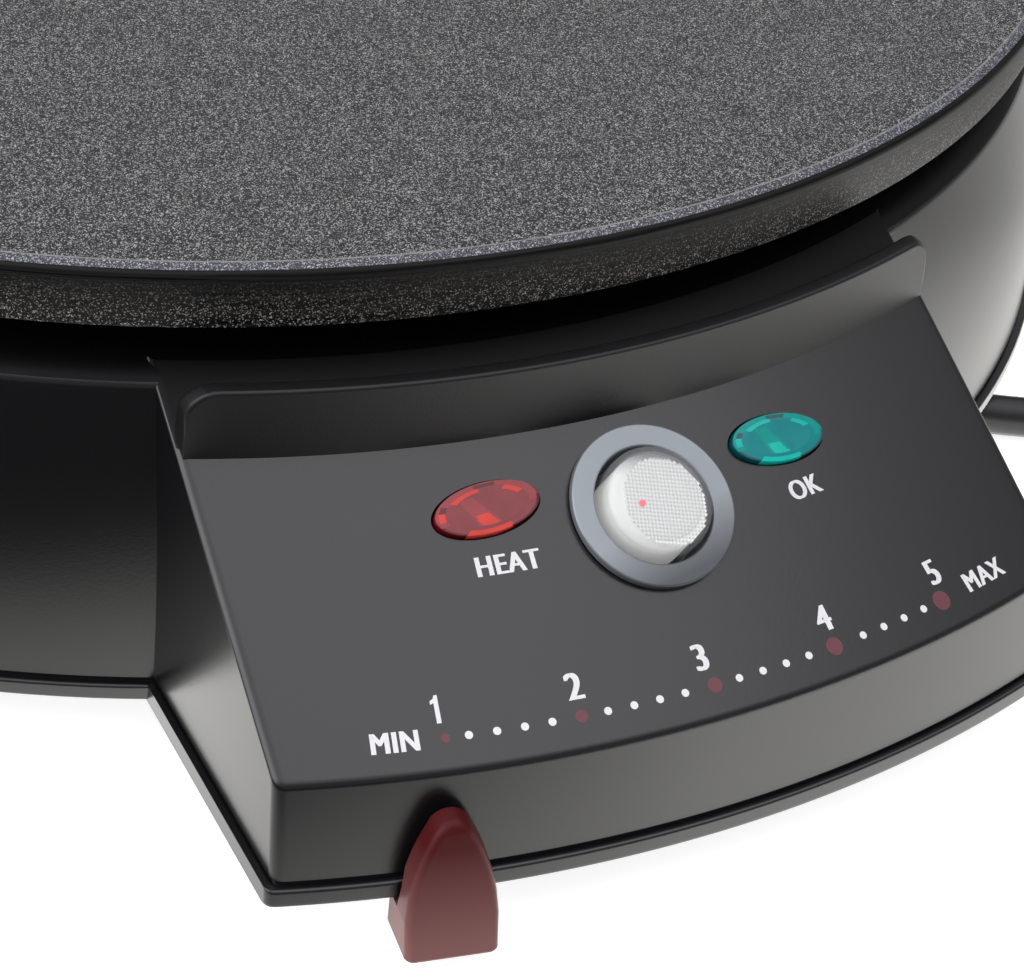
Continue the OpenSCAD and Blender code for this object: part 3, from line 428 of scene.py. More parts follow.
def finished(name, bm, materials, body=BODY, replaces=(), crisp=38, paint=None):
    """Turns a mesh in millimetres into a piece: on the plate's axis, scaled, shaded, riding on its body."""
    for face in bm.faces:
        face.smooth = True
        if paint:
            face.material_index = paint(face.calc_center_median(), face.normal)
    moved(bm, Matrix.Scale(MM, 4) @ Matrix.Translation((0, AXIS_Y, 0)))
    for edge in bm.edges:
        edge.smooth = len(edge.link_faces) == 2 and edge.calc_face_angle(0) < math.radians(crisp)
    mesh = mesh_of(name, bm)
    for material in materials:
        mesh.materials.append(material)
    piece = linked(name, mesh)
    piece.modifiers.new("even_shading", "WEIGHTED_NORMAL").keep_sharp = True
    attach(piece, body)
    if replaces:
        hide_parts(*replaces)
    return piece


# ---- camera and cord -------------------------------------------------------

CAMERA_AT = Vector((-0.18453, -0.43447 + AXIS_Y * MM, 0.27174))  # in metres
CAMERA_RIGHT = Vector((0.87829474, -0.46952747, 0.09023467))
CAMERA_UP = Vector((0.21042136, 0.54906098, 0.80886024))
CAMERA_BACK = -Vector((0.42932644, 0.6914304, -0.58103599))
CAMERA_LENS = 102.101

CORD_EXIT = (72.76, -112.15, 8.2)
LEAD = [CORD_EXIT, (76.3, -114.03, 8.15), (79, -115.5, 7.6), (84, -118, 6.5), (90, -121.4, 5.1),
        (96, -124.6, 4.0), (102, -127.7, 3.5), (112, -133, 3.4), (122, -138.3, 3.4),
        (130, -142.6, 3.4), (137, -146.3, 3.4), (143, -149.5, 3.4), (149, -152.7, 3.4)]
COIL_CENTRE = (174.0, -119.0)
COIL_ENTRY = -118.0  # the angle at which the cord joins its coil
# turned so far in degrees, radius and height
COIL_TURNS = [(0, 41.5, 3.4), (300, 41.5, 3.4), (360, 34.5, 3.4), (600, 34.5, 3.4), (660, 34.5, 10.4),
              (900, 34.5, 10.4), (960, 41.5, 10.4), (1198, 41.5, 10.4)]
TAIL = [(215.5, y, z) for y, z in (
    (-115, 10.4), (-108, 10.1), (-101, 8.9), (-94, 6.9), (-86, 4.8), (-78, 3.7), (-70, 3.7), (-62, 4.7),
    (-54, 6.6), (-47, 8.2), (-40, 9.0), (-36, 9.0))]


def eased(t):
    """Smooth step from 0 to 1."""
    return t * t * (3 - 2 * t)


def coil_points():
    """The cord's turns: two side by side on the table, two on top of them."""
    points = []
    steps = 120
    for step in range(1, steps):
        phase = step * COIL_TURNS[-1][0] / steps
        for (a, ra, za), (b, rb, zb) in zip(COIL_TURNS, COIL_TURNS[1:]):
            if a <= phase <= b:
                t = eased((phase - a) / (b - a))
                r, z = ra + (rb - ra) * t, za + (zb - za) * t
        angle = math.radians(COIL_ENTRY + phase)
        points.append((COIL_CENTRE[0] + r * math.cos(angle), COIL_CENTRE[1] + r * math.sin(angle), z))
    return points


def smoothed(points, per_span):
    """A smooth curve through the points, with so many steps from one to the next."""
    out = []
    for i in range(len(points) - 1):
        a, b, c, d = (Vector(points[min(max(k, 0), len(points) - 1)]) for k in (i - 1, i, i + 1, i + 2))
        for s in range(per_span):
            t = s / per_span
            out.append(0.5 * (2 * b + (c - a) * t + (2 * a - 5 * b + 4 * c - d) * t * t
                              + (3 * b - 3 * c + d - a) * t ** 3))
    return out + [Vector(points[-1])]


class CREPE_OT_camera(bpy.types.Operator):
    """Sets up the camera in front of the left corner of the housing"""

    bl_idname = "crepe.camera"
    bl_label = "Camera"

    def execute(self, context):
        data = bpy.data.cameras.new("camera")
        data.lens = CAMERA_LENS
        data.sensor_width = 36.0
        data.sensor_fit = "HORIZONTAL"
        data.clip_start, data.clip_end = 0.01, 20.0
        camera = linked("camera", data)
        turn = Matrix((CAMERA_RIGHT, CAMERA_UP, CAMERA_BACK)).transposed().to_4x4()
        camera.matrix_world = Matrix.Translation(CAMERA_AT) @ turn
        context.scene.camera = camera
        return {"FINISHED"}


class CREPE_OT_cord(bpy.types.Operator):
    """Lays the cord from its strain relief into a coil and on to its plug"""

    bl_idname = "crepe.cord"
    bl_label = "Cord, strain relief and plug"

    def execute(self, context):
        # flexible PVC, extruded: near black with an even soft sheen
        skin = plain_material("flexible_pvc", tint("cord"), roughness=0.4, spacing=0.8, IOR=1.5)
        route = smoothed(LEAD + coil_points() + TAIL, 2)
        curve = bpy.data.curves.new("power_cord_run", "CURVE")
        curve.dimensions = "3D"
        curve.bevel_depth = size("cord_diameter") / 2 * MM
        curve.bevel_resolution = 5
        curve.use_fill_caps = True
        line = curve.splines.new("POLY")
        line.points.add(len(route) - 1)
        for point, place in zip(line.points, route):
            point.co = (*((Vector(place) + Vector((0, AXIS_Y, 0))) * MM), 1.0)
        line.use_smooth = True
        curve.materials.append(skin)
        cord = linked("power_cord_run", curve)
        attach(cord, BODY)
        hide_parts("power_cord", "cord_coil", "cord_tail")
        cord.visible_glossy = False

        at = (Matrix.Translation((48, -99, 8.2)) @ Matrix.Rotation(math.radians(-28), 4, "Z")
              @ Matrix.Rotation(math.radians(90), 4, "Y"))
        sleeve = moved(spun(self.ribbed(4.7, 4.1, 28.0, 2.4), 48), at)
        relief = finished("strain_relief_sleeve", sleeve, [skin],
                          replaces=("strain_relief",))
        plug = finished("moulded_plug", self.plug(), [skin], replaces=("power_plug",))
        size("cord_diameter") * MM
        return {"FINISHED"}

    @staticmethod
    def ribbed(r0, r1, length, collar):
        """Outline of a tapered sleeve with rounded ribs, along +Z."""
        pitch, slit, depth, first = 3.2, 1.1, 0.9, 3
        points = [(0, -collar, 0), (r0, -collar, 0), (r0, first / 2, 0.3)]
        for i in range(int((length - 4) / pitch)):
            z = first + i * pitch
            r = r0 + (r1 - r0) * z / length
            points += [(r - depth, z, 0.2), (r - depth, z + slit, 0.2), (r, z + slit, 0.25),
                       (r, z + pitch, 0.25)]
        return points + [(r1, length, 0.3), (0, length, 0)]

    def plug(self):
        """A moulded plug with finger grips and its own ribbed relief, lying flat."""
        at = Vector(TAIL[-1])
        relief = moved(spun(self.ribbed(6.0, 4.1, 21.0, 0.5), 48),
                       Matrix.Translation(at + Vector((0, 22, 0)))
                       @ Matrix.Rotation(math.radians(90), 4, "X"))
        body = bmesh.new()
        bmesh.ops.create_cube(body, size=1.0)
        bmesh.ops.scale(body, vec=(26, 30, 18), verts=body.verts)
        for vert in body.verts:
            if vert.co.y < 0:
                vert.co.x *= 0.72
                vert.co.z *= 0.78
        bmesh.ops.translate(body, vec=at + Vector((0, 37, 0)), verts=body.verts)
        bevelled(body, body.edges[:], 3.2, 5)
        sides = [f for f in body.faces if abs(f.normal.x) > 0.9 and f.calc_area() > 60]
        for side in sides:
            bmesh.ops.inset_individual(body, faces=[side], thickness=2.0, depth=-0.8)
        return merged(relief, body)


# ---- pieces ----------------------------------------------------------------

class CREPE_OT_plate(bpy.types.Operator):
    """Turns the cooking plate with its coated top, rim line and turned side"""

    bl_idname = "crepe.plate"
    bl_label = "Cooking plate"

    def execute(self, context):
        top, rim_r, line_r = size("plate_top"), size("plate_radius"), size("surface_radius")
        foot_z = top - size("plate_height")
        low_r = rim_r - PLATE_TAPER
        under_z, rib_z = top - 6, top - 9
        bevel_drop, line_in, line_out = 0.7, 0.18, 0.12
        groove = [(ELEMENT_R + ELEMENT_GROOVE_R * math.cos(t), rib_z + ELEMENT_GROOVE_R * math.sin(t), 0)
                  for t in (math.pi * k / 10 for k in range(11))]
        rib_in, rib_out = ELEMENT_RIB
        bm = spun([(0, top, 0), (line_r - line_in, top, 0), (line_r + line_out, top - 0.03, 0),
                   (rim_r, top - bevel_drop, 1.0), (low_r, foot_z, 0.4), (low_r - 3.6, foot_z, 0.3),
                   (low_r - 4.6, under_z, 0), (rib_out, under_z, 0), (rib_out, rib_z, 0)]
                  + groove + [(rib_in, rib_z, 0), (rib_in, under_z, 0), (0, under_z, 0)], 360)
        for angle in (90, 210, 330):
            a = math.radians(angle)
            at = Matrix.Translation((BOSS_AT * math.cos(a), BOSS_AT * math.sin(a), under_z - BOSS_H / 2))
            bm = merged(bm, moved(cylinder(BOSS_R, BOSS_H, 48), at))

        def paint(centre, normal):
            """0 the cooking surface, 1 the side and underside, 2 the fine line, 3 the bevel."""
            r = math.hypot(centre.x, centre.y)
            if centre.z < top - bevel_drop - 0.06 or normal.z < 0.9:
                return 1
            return 0 if r < line_r - line_in + 0.02 else 2 if r < line_r + line_out else 3

        coat = coating_material("flecked_nonstick_coating", 0.3, tint("coating"), linear("#1a1a1c"),
                                tint("fleck"), 0.48, 0.4)
        # the fine line's pale grey is a painted highlight
        side, line = turned_side_material(), highlight_line_material()
        # the same coating on the bevel, where it catches a cooler light
        bevel = coating_material("coated_rim_bevel", 0.32, linear("#24262b"), linear("#24262b"),
                                 linear("#b0b4bf"), 0.42, 0.6)
        finished("griddle_plate", bm, [coat, side, line, bevel],
                 replaces=("cooking_plate",), crisp=28, paint=paint)
        return {"FINISHED"}


def under_guard():
    """The radius, hidden under the guard, at which the panel's finish changes to the deck's."""
    return size("guard_radius") - 1


def wall_profile(inset, low, rounded, top_z):
    """The round base's outer wall drawn in by inset, from low up to its top and the shoulder there."""
    points = []
    for k in range(9):
        t = k / 8
        r = BODY_BOTTOM_R - (BODY_BOTTOM_R - BODY_TOP_R) * t + 4 * BODY_BULGE * t * (1 - t)
        z = BASE_Z + (DECK_Z - SHOULDER[1] - BASE_Z) * t
        if z > low + 0.2:
            points.append((r - inset, z, 0))
    if not rounded:
        return points + [(BODY_TOP_R - inset, top_z, 0), (0, top_z, 0)]
    wide, tall = SHOULDER
    for k in range(1, 13):
        turn = math.pi / 2 * k / 12
        points.append((BODY_TOP_R - inset - wide * (1 - math.cos(turn)),
                       top_z - tall * (1 - math.sin(turn)), 0))
    return points + [(0, top_z, 0)]


def side_x(y, z, inset):
    """Half the housing's width at a depth and a height, its walls drawn in by inset."""
    return (size("housing_half_width") - inset - (y - SIDE_REF_Y) * math.tan(SIDE_SPREAD)
            - (z - GUARD_FOOT_Z) * math.tan(SIDE_DRAFT) / math.cos(SIDE_SPREAD))


def housing_ring(r, z, inset, rounding):
    """One level section of the housing: a round front, two straight sides and rounded corners."""
    centre_r = r - rounding
    y = -centre_r
    for _ in range(12):
        x = side_x(y, z, inset) - rounding / math.cos(SIDE_SPREAD)
        y = -math.sqrt(centre_r ** 2 - x ** 2)
    on_arc = math.atan2(x, -y)
    square = math.pi / 2 + SIDE_SPREAD
    right = [Vector((side_x(-HOUSING_BACK, z, inset), -HOUSING_BACK, z))]
    for k in range(6):
        turn = square + (on_arc - square) * k / 5
        right.append(Vector((x + rounding * math.sin(turn), y - rounding * math.cos(turn), z)))
    steps = 96
    arc = [Vector((r * math.sin(t), -r * math.cos(t), z))
           for t in (on_arc * (1 - 2 * k / steps) for k in range(1, steps))]
    return right + arc + [Vector((-v.x, v.y, v.z)) for v in reversed(right)]


def housing(inset, low, top, ridge=0.0, rounding=0.0):
    """The control housing as a solid, drawn in by inset, between two heights.

    ridge rounds the front's upright corners, rounding its level edges.
    """
    back = HOUSING_BACK
    front = size("guard_radius") + size("panel_length")
    drop = inset / math.cos(SLOPE) if inset > 0 else 0
    meet = size("guard_radius") - (top + drop - GUARD_FOOT_Z) / math.tan(SLOPE)
    brow = panel_z(front - inset) - drop
    lean = FRONT_DRAFT / (panel_z(front) - BASE_Z)

    def wall_r(z):
        return front - inset + lean * (panel_z(front) - z)

    if top < brow:
        points = [(back, low, 0), (wall_r(low), low, rounding), (wall_r(top), top, rounding), (back, top, 0)]
    else:
        edge = under_guard()
        points = [(back, low, 0), (wall_r(low), low, 0), (front - inset, brow, rounding),
                  (edge, brow + (front - inset - edge) * math.tan(SLOPE), 0), (meet, top, 0), (back, top, 0)]
    profile = rounded_profile(points)[1:-1]
    return lofted([housing_ring(r, z, inset, ridge) for r, z in profile])


def panel_cutter(r, angle, at_r, stretch=1.0, turned=0.0):
    """A round or oval drill standing on the panel."""
    bm = cylinder(r, 14, 72)
    bmesh.ops.scale(bm, vec=(stretch, 1, 1), verts=bm.verts)
    return moved(bm, panel_matrix(angle, at_r, turned))


class CREPE_OT_base(bpy.types.Operator):
    """Moulds the round base and its control housing as one hollow shell"""

    bl_idname = "crepe.base"
    bl_label = "Base shell"

    def execute(self, context):
        bead_top = BASE_Z + BEAD_H
        groove_top = bead_top + GROOVE_H
        low_r = BODY_BOTTOM_R + BEAD_OUT
        groove_in = 0.35
        under_z = BASE_Z - 1
        round_body = spun([(0, BASE_Z, 0), (low_r, BASE_Z, 0.5), (low_r, bead_top, 0.5),
                           (BODY_BOTTOM_R - groove_in, bead_top, 0),
                           (BODY_BOTTOM_R - groove_in, groove_top, 0),
                           (BODY_BOTTOM_R - 0.15, groove_top, 0)]
                          + wall_profile(0, groove_top, True, DECK_Z))
        block = housing(0, groove_top, DECK_Z, 2.0, 1.8)
        neck = housing(groove_in, BASE_Z + 0.3, groove_top + GROOVE_H, 1.0)
        bead = housing(-BEAD_OUT, BASE_Z, bead_top, 1.6, 0.6)
        outside = round_body
        for part in (block, neck, bead):
            outside = boolean(outside, part, "UNION")
        hollow = boolean(spun([(0, under_z, 0), (BODY_BOTTOM_R - WALL, under_z, 0)]
                              + wall_profile(WALL, under_z, False, DECK_Z - WALL)),
                         housing(WALL, under_z, DECK_Z - WALL), "UNION")
        shell = boolean(outside, hollow, "DIFFERENCE")
        opening = spun([(0, DECK_Z - 8, 0), (DECK_HOLE_R, DECK_Z - 8, 0), (DECK_HOLE_R, DECK_Z + 6, 0),
                        (0, DECK_Z + 6, 0)])
        drills = [panel_cutter(RING_HOLE_R, 0, RING_R)]
        wide, tall = (half + LAMP_GAP for half in LAMP_HALF)
        for side in (-1, 1):
            drills.append(panel_cutter(tall, side * LAMP_ANGLE, LAMP_R, wide / tall, -side * LAMP_ANGLE))
        shell = boolean(shell, merged(opening, *drills), "DIFFERENCE")

        def paint(centre, normal):
            """0 the walls and the panel, 1 the deck and the slope behind the guard, in painted shade."""
            behind_guard = math.hypot(centre.x, centre.y) < under_guard()
            return 1 if behind_guard and centre.z > GUARD_FOOT_Z and normal.z > 0.6 else 0

        # ABS with a fine spark-eroded grain: deep black and satin
        grained = plain_material("grained_black_plastic", shade(tint("housing"), 1.15), roughness=0.25,
                                 spacing=0.5, height=0.012, spread=0.15 / 1.15, IOR=1.6)
        # the same ABS on the deck, matt and black with hardly a sheen and a little darker than the walls:
        # painted shade under the plate's edge
        matt = plain_material("matt_deck_plastic", tint("housing"), roughness=0.5, spacing=0.35,
                              height=0.016, Specular_IOR_Level=0.18)
        finished("base_moulding", shell, [grained, matt],
                 replaces=("base_shell",), crisp=25, paint=paint)
        return {"FINISHED"}


class CREPE_OT_guard(bpy.types.Operator):
    """Bends the guard that stands between the plate and the panel"""

    bl_idname = "crepe.guard"
    bl_label = "Guard"

    def execute(self, context):
        front, top = size("guard_radius"), size("guard_top")
        bm = bmesh.new()
        outline(bm, [(-GUARD_HALF, GUARD_LOW_Z, 0), (GUARD_HALF, GUARD_LOW_Z, 0),
                     (GUARD_HALF, top, GUARD_ROUND), (-GUARD_HALF, top, GUARD_ROUND)], 8)
        pulled = bmesh.ops.extrude_face_region(bm, geom=bm.faces[:])["geom"]
        bmesh.ops.translate(bm, vec=(0, GUARD_THICK, 0),
                            verts=[g for g in pulled if isinstance(g, bmesh.types.BMVert)])
        bmesh.ops.recalc_face_normals(bm, faces=bm.faces)
        free = [e for e in bm.edges if e.calc_face_angle(0) > math.radians(60)
                and min(v.co.z for v in e.verts) > GUARD_LOW_Z + 0.5]
        bevelled(bm, free, 0.55, 3)
        for x in range(-58, 60, 2):
            bmesh.ops.bisect_plane(bm, geom=bm.verts[:] + bm.edges[:] + bm.faces[:], dist=SAME_POINT,
                                   plane_co=(x, 0, 0), plane_no=(1, 0, 0))
        for vert in bm.verts:
            vert.co.y = -math.sqrt((front - vert.co.y) ** 2 - vert.co.x ** 2)
        # ABS from a matt mould: black with a broad dull sheen
        matt = plain_material("matt_black_plastic", tint("housing"), roughness=0.42, spacing=0.35,
                              height=0.016, Specular_IOR_Level=0.45)
        finished("guard_strip", bm, [matt], replaces=("panel_guard",), crisp=50)
        return {"FINISHED"}


class CREPE_OT_knob(bpy.types.Operator):
    """Shapes the pointed knob that wraps round the housing's lower edge"""

    bl_idname = "crepe.knob"
    bl_label = "Slider knob"

    def execute(self, context):
        half = size("knob_width") / 2
        low, top = KNOB_Z
        rise = top + 1.8 - KNOB_SPRING_Z
        arc_r = (rise * rise + half * half) / (2 * half)
        edge_r = size("guard_radius") + size("panel_length") + FRONT_DRAFT
        back_r = edge_r + BEAD_OUT + SLIDE_GAP
        under_r = back_r - 3
        front_r = under_r + KNOB_DEPTH
        bead_top = BASE_Z + BEAD_H + SLIDE_GAP
        lean = FRONT_DRAFT / (panel_z(edge_r - FRONT_DRAFT) - BASE_Z)

        def half_at(z):
            """Half the knob's width: straight sides, then two arcs that would meet above its top."""
            if z < KNOB_SPRING_Z:
                return half
            return half - arc_r + math.sqrt(arc_r ** 2 - (z - KNOB_SPRING_Z) ** 2)

        def clear_r(z):
            """The radius of the knob's back, clear of the housing's front wall."""
            return edge_r - lean * (z - BASE_Z) + SLIDE_GAP + 1

        def ring(z, back, inset=0.0):
            """One level section of the knob, its front corners rounded."""
            front = front_r - KNOB_LEAN * (z - low) / (top - low) - inset
            wide = max(half_at(z) - inset, 0.25)
            soft = min(1.1, wide * 0.8, (front - back) / 2)
            draft = 0.035
            right = [Vector((wide + draft * (front - back), -back, z))]
            for k in range(7):
                turn = math.pi / 2 * (1 - k / 6)
                right.append(Vector((wide - soft + soft * math.sin(turn),
                                     -(front - soft + soft * math.cos(turn)), z)))
            return right + [Vector((-v.x, v.y, v.z)) for v in reversed(right)]

        gap_z = BASE_Z - SLIDE_GAP
        levels = [(low, under_r + 0.5, 0.5), (low + 0.15, under_r + 0.15, 0.2), (low + 0.5, under_r, 0.0),
                  (gap_z - 0.4, under_r, 0.0), (gap_z, under_r + 0.3, 0.0), (gap_z, back_r - 0.2, 0.0),
                  (gap_z + 0.2, back_r, 0.0), (bead_top - 0.2, back_r, 0.0),
                  (bead_top + 2, clear_r(bead_top + 2), 0.0)]
        levels += [(z, clear_r(z), 0.0) for z in (15, 16, 17, 18, 19, 20, 20.8)]
        levels += [(top - 1.1, clear_r(top), 0.05), (top - 0.6, clear_r(top), 0.25),
                   (top - 0.2, clear_r(top), 0.6), (top, clear_r(top), 1.1)]
        bm = lofted([ring(*level) for level in levels])
        moved(bm, Matrix.Rotation(math.radians(DIAL_START), 4, "Z"))
        # ABS moulded in burgundy: satin, paler towards its foot as a painted reflection of the pale floor
        moulding, tree, shader, place = started("burgundy_moulding", Roughness=0.4, Specular_IOR_Level=0.15)
        grain(tree, shader, place, 0.5, 0.008)
        add(tree, "MixRGB", to=shader.inputs["Base Color"], Color1=tint("knob"), Color2=linear("#845a58"),
            Fac=across(tree, place, Matrix(), (0, 0, 1), 19, 4))
        finished("slider_grip", bm, [moulding], body=SLIDER,
                 replaces=("slider_knob",), crisp=30)
        return {"FINISHED"}


LENS_SHADES = ("edge", "shadow", "field", "facet", "light")
# from an oval lens's edge inwards: where a band ends, the shades of its arcs in degrees, and of the rest
# the light shade is a painted highlight, the shadow shade painted shade
LENS_BANDS = [(0.99, [(235, 290, "light")], "edge"),
              (0.95, [(235, 290, "light"), (-1, 200, "facet")], "shadow"),
              (0.77, [(238, 292, "light"), (200, 350, "field"), (70, 96, "shadow"), (150, 166, "shadow"),
                      (166, 186, "light")], "facet"),
              (0.66, [(92, 142, "light"), (22, 58, "light")], "field")]


class CREPE_OT_indicators(bpy.types.Operator):
    """Fits the bezel, the round lens and the two oval lamps"""

    bl_idname = "crepe.indicators"
    bl_label = "Indicators"

    def execute(self, context):
        self.bezel()
        self.round_lens()
        self.oval_lens("red", -1, ("#6a0c14", "#6a3a40", "#90484c", "#a04c50", "#e04a40"))
        self.oval_lens("green", 1, ("#04545a", "#3c5f66", "#148c8f", "#0a9c94", "#16c4b6"))
        return {"FINISHED"}

    @staticmethod
    def bezel():
        """A turned ring in satin metallic paint: silver-grey, with painted light and shade, darker towards
        its lower edge.
        """
        outer, inner = size("bezel_radius"), size("bezel_opening")
        at = panel_matrix(0, RING_R)
        material, tree, shader, place = started("satin_silver_paint", Roughness=0.36, Metallic=0.5)
        grain(tree, shader, place, 0.6, 0.004)
        silver = tint("bezel")
        add(tree, "MixRGB", to=shader.inputs["Base Color"], Color1=shade(silver, 0.34),
            Color2=shade(silver, 1.17), Fac=across(tree, place, at, (-0.2, 0.98, 0), -10.5, -2.5))
        bm = spun([(inner, -6.5, 0), (outer - 1.6, -6.5, 0), (outer - 1.6, 0.02, 0), (outer, 0.02, 0.1),
                   (outer, 1.2, 0.3), (inner, 1.2, 0.3)], 144)
        finished("bezel", moved(bm, at), [material],
                 replaces=("bezel_ring",), crisp=50)

    @staticmethod
    def round_lens():
        """A clear cup with a broad rounded shoulder over a milky prism disc."""
        r, h = size("bezel_opening") - 0.6, size("lens_height")
        at = panel_matrix(0, RING_R)
        # the milky parts are given a faint white glow: painted light that keeps them bright
        glow = {"roughness": 0.35, "spacing": 0.6, "spread": 0.03, "Emission_Color": linear("#fbfaf6")}
        # clear acrylic, polished: almost no colour, small sharp highlights
        clear, tree, shader, place = started("clear_lens_plastic", IOR=1.49, Roughness=0.05, Alpha=0.22,
                                             Base_Color=linear("#c9ccce"))
        grain(tree, shader, place, 0.9, 0.003)
        cup = spun([(0, h, 0), (r - 2.6, h, 0.2), (r - 1.6, h - 0.25, 0), (r - 0.65, h - 0.9, 0),
                    (r - 0.15, h - 1.9, 0), (r, h - 3.0, 0), (r, -6.6, 0), (r + 1.9, -6.6, 0),
                    (r + 1.9, -8.1, 0), (r, -8.1, 0), (r, -10.5, 0), (r - 0.8, -10.5, 0),
                    (r - 0.8, h - 1.9, 0.3), (r - 2.6, h - 0.8, 0), (0, h - 0.8, 0)], 96)
        finished("round_lens", moved(cup, at), [clear], replaces=("indicator_lens",),
                 crisp=40)
        # milky polycarbonate, moulded into fine prisms: kept bright by a painted glow, with a grid of
        # hollows darkened as painted shade
        white = plain_material("milky_polycarbonate", linear("#e8e8e5"), height=0.008,
                               Emission_Strength=0.28, **glow)
        dimple = plain_material("dimple_shade", linear("#c4c4c2"), height=0.004,
                                Emission_Strength=0.2, **glow)
        face_z, face_r, off = h - 1.25, 6.15, Vector((0.5, -0.65, 0))
        disc = bmesh.new()
        bmesh.ops.create_grid(disc, x_segments=34, y_segments=34, size=face_r + 0.3)
        row = round(math.sqrt(len(disc.faces)))
        # every other cell of the grid takes the hollows' painted shade
        for k, face in enumerate(disc.faces):
            face.material_index = (k // row + k % row) % 2
        bmesh.ops.rotate(disc, verts=disc.verts, cent=(0, 0, 0), matrix=Matrix.Rotation(0.5, 3, "Z"))
        outside = [f for f in disc.faces if f.calc_center_median().length > face_r]
        bmesh.ops.delete(disc, geom=outside, context="FACES")
        bmesh.ops.poke(disc, faces=disc.faces[:], offset=-0.12, center_mode="MEAN")
        bmesh.ops.scale(disc, vec=(0.96, 1.05, 1), verts=disc.verts)
        bmesh.ops.translate(disc, vec=off + Vector((0, 0, face_z)), verts=disc.verts)
        finished("prism_disc", moved(disc, at), [white, dimple],
                 replaces=("lens_diffuser",), crisp=20)

        # the same milky plastic on the barrel's side: white and glowing on its left, grey on its right, as
        # painted light and shade
        milky, tree, shader, place = started("milky_barrel", Roughness=0.3, Emission_Color=linear("#fbfaf6"))
        grain(tree, shader, place, 0.6, 0.006)
        shaded_side = across(tree, place, at, (0.82, 0.57, 0), -1, 4)
        add(tree, "MixRGB", to=shader.inputs["Base Color"], Fac=shaded_side, Color1=linear("#ecece7"),
            Color2=linear("#737376"))
        add(tree, "MapRange", to=shader.inputs["Emission Strength"], Value=shaded_side, To_Min=0.28, To_Max=0.0)
        barrel = spun([(0, face_z - 0.5, 0), (face_r - 0.2, face_z - 0.3, 0),
                       (r - 0.95, face_z - 1.1, 0.5), (r - 0.85, -5, 0), (r - 1.9, -5, 0),
                       (r - 1.9, face_z - 2.4, 0), (0, face_z - 2.4, 0)], 96)
        finished("milky_barrel", moved(barrel, at), [milky], crisp=50)
        dot = moved(cylinder(0.46, 0.3, 24, 0.4), Matrix.Translation((-2.9, -0.1, face_z + 0.1)))
        # a lit red chip behind the disc: a small glowing point
        red = plain_material("red_glow", linear("#dc2018"), roughness=0.7, spacing=0.5, height=0.002,
                             Emission_Color=linear("#f01408"), Emission_Strength=0.7)
        finished("glowing_chip", moved(dot, at), [red])

    def oval_lens(self, hue, side, colours):
        """A tinted lens over the steps of its reflector, with painted light and shade; colours from dark
        edge to bright facet.
        """
        a, b = LAMP_HALF
        rings = [(t / 25, 0.84 + t / 850) for t in range(17)] + [
                 (0.66, 0.86), (0.73, 0.88), (0.80, 0.80), (0.93, 0.84),
                 (0.985, 0.78), (1.0, 0.62), (1.0, 0.2), (1.0, -4.2), (0.0, -4.2)]
        bm = spun([(t * b, z, 0) for t, z in rings], 96)
        bmesh.ops.scale(bm, vec=(a / b, 1, 1), verts=bm.verts)
        for face in bm.faces:
            centre = face.calc_center_median()
            x, y = centre.x / a, centre.y / b
            face.material_index = LENS_SHADES.index(self.facet(x, y, centre.z))
        # tinted acrylic, polished: each shade is one tone of the reflector behind it, with painted highlight
        # and shade laid over those tones
        shades = []
        for part, value in zip(LENS_SHADES, colours):
            material, tree, shader, place = started(f"{hue}_lamp_{part}", Roughness=0.1, IOR=1.49,
                                                    Specular_IOR_Level=0.2)
            wash = add(tree, "TexNoise", Vector=place, Scale=1 / (2.5 * MM), Detail=1.0).outputs["Fac"]
            add(tree, "MixRGB", to=shader.inputs["Base Color"], Fac=wash,
                Color1=shade(linear(value), 0.75), Color2=linear(value))
            shades.append(material)
        moved(bm, panel_matrix(side * LAMP_ANGLE, LAMP_R, -side * LAMP_ANGLE))
        finished(f"{hue}_lamp", bm, shades, replaces=(f"{hue}_lens",), crisp=50)

    @staticmethod
    def facet(x, y, z):
        """Which shade a facet takes; x and y are shares of the lens's half width and height."""
        t, turn = math.hypot(x, y), math.degrees(math.atan2(y, x)) % 360
        for least, arcs, rest in LENS_BANDS:
            if t > least or z < 0.7:
                return next((part for start, end, part in arcs if start < turn < end), rest)
        # a streak of painted highlight across the middle, brightest low down
        off = abs(x + 0.2 + 0.25 * y)
        if y < 0.5 and off < 0.17 - 0.08 * y:
            return "light" if y < -0.2 and off < 0.12 - 0.06 * y else "facet"
        return "field"


# angle from the panel's middle, distance from the plate's axis and cap height of each text
PRINT = {"1": (-11.75, 191.9, 3.8), "2": (-6.07, 191.9, 3.8), "3": (-0.46, 191.9, 3.8),
         "4": (5.6, 191.9, 3.8), "5": (11.75, 191.9, 3.8), "HEAT": (-7.4, 176.6, 2.9),
         "OK": (7.9, 176.6, 2.9), "MIN": (-13.55, 195.2, 2.9), "MAX": (14.1, 194.9, 2.9)}
BIG_DOTS = [(-11.6, 1.3), (-6.1, 1.8), (-0.3, 2.2), (5.5, 2.6), (11.4, 2.9)]
SMALL_DOTS = [start + 1.12 * k for start in (-10.67, -4.99, 0.84, 7.0) for k in range(4)]
DOT_R = 195.2
PRINT_THICK = 0.06
# outline of a plain numeral 1 of height 1, round its centre
ONE = [(-0.06, -0.5), (0.13, -0.5), (0.13, 0.5), (0.0, 0.5), (-0.06, 0.38), (-0.2, 0.31), (-0.2, 0.18),
       (-0.06, 0.23)]


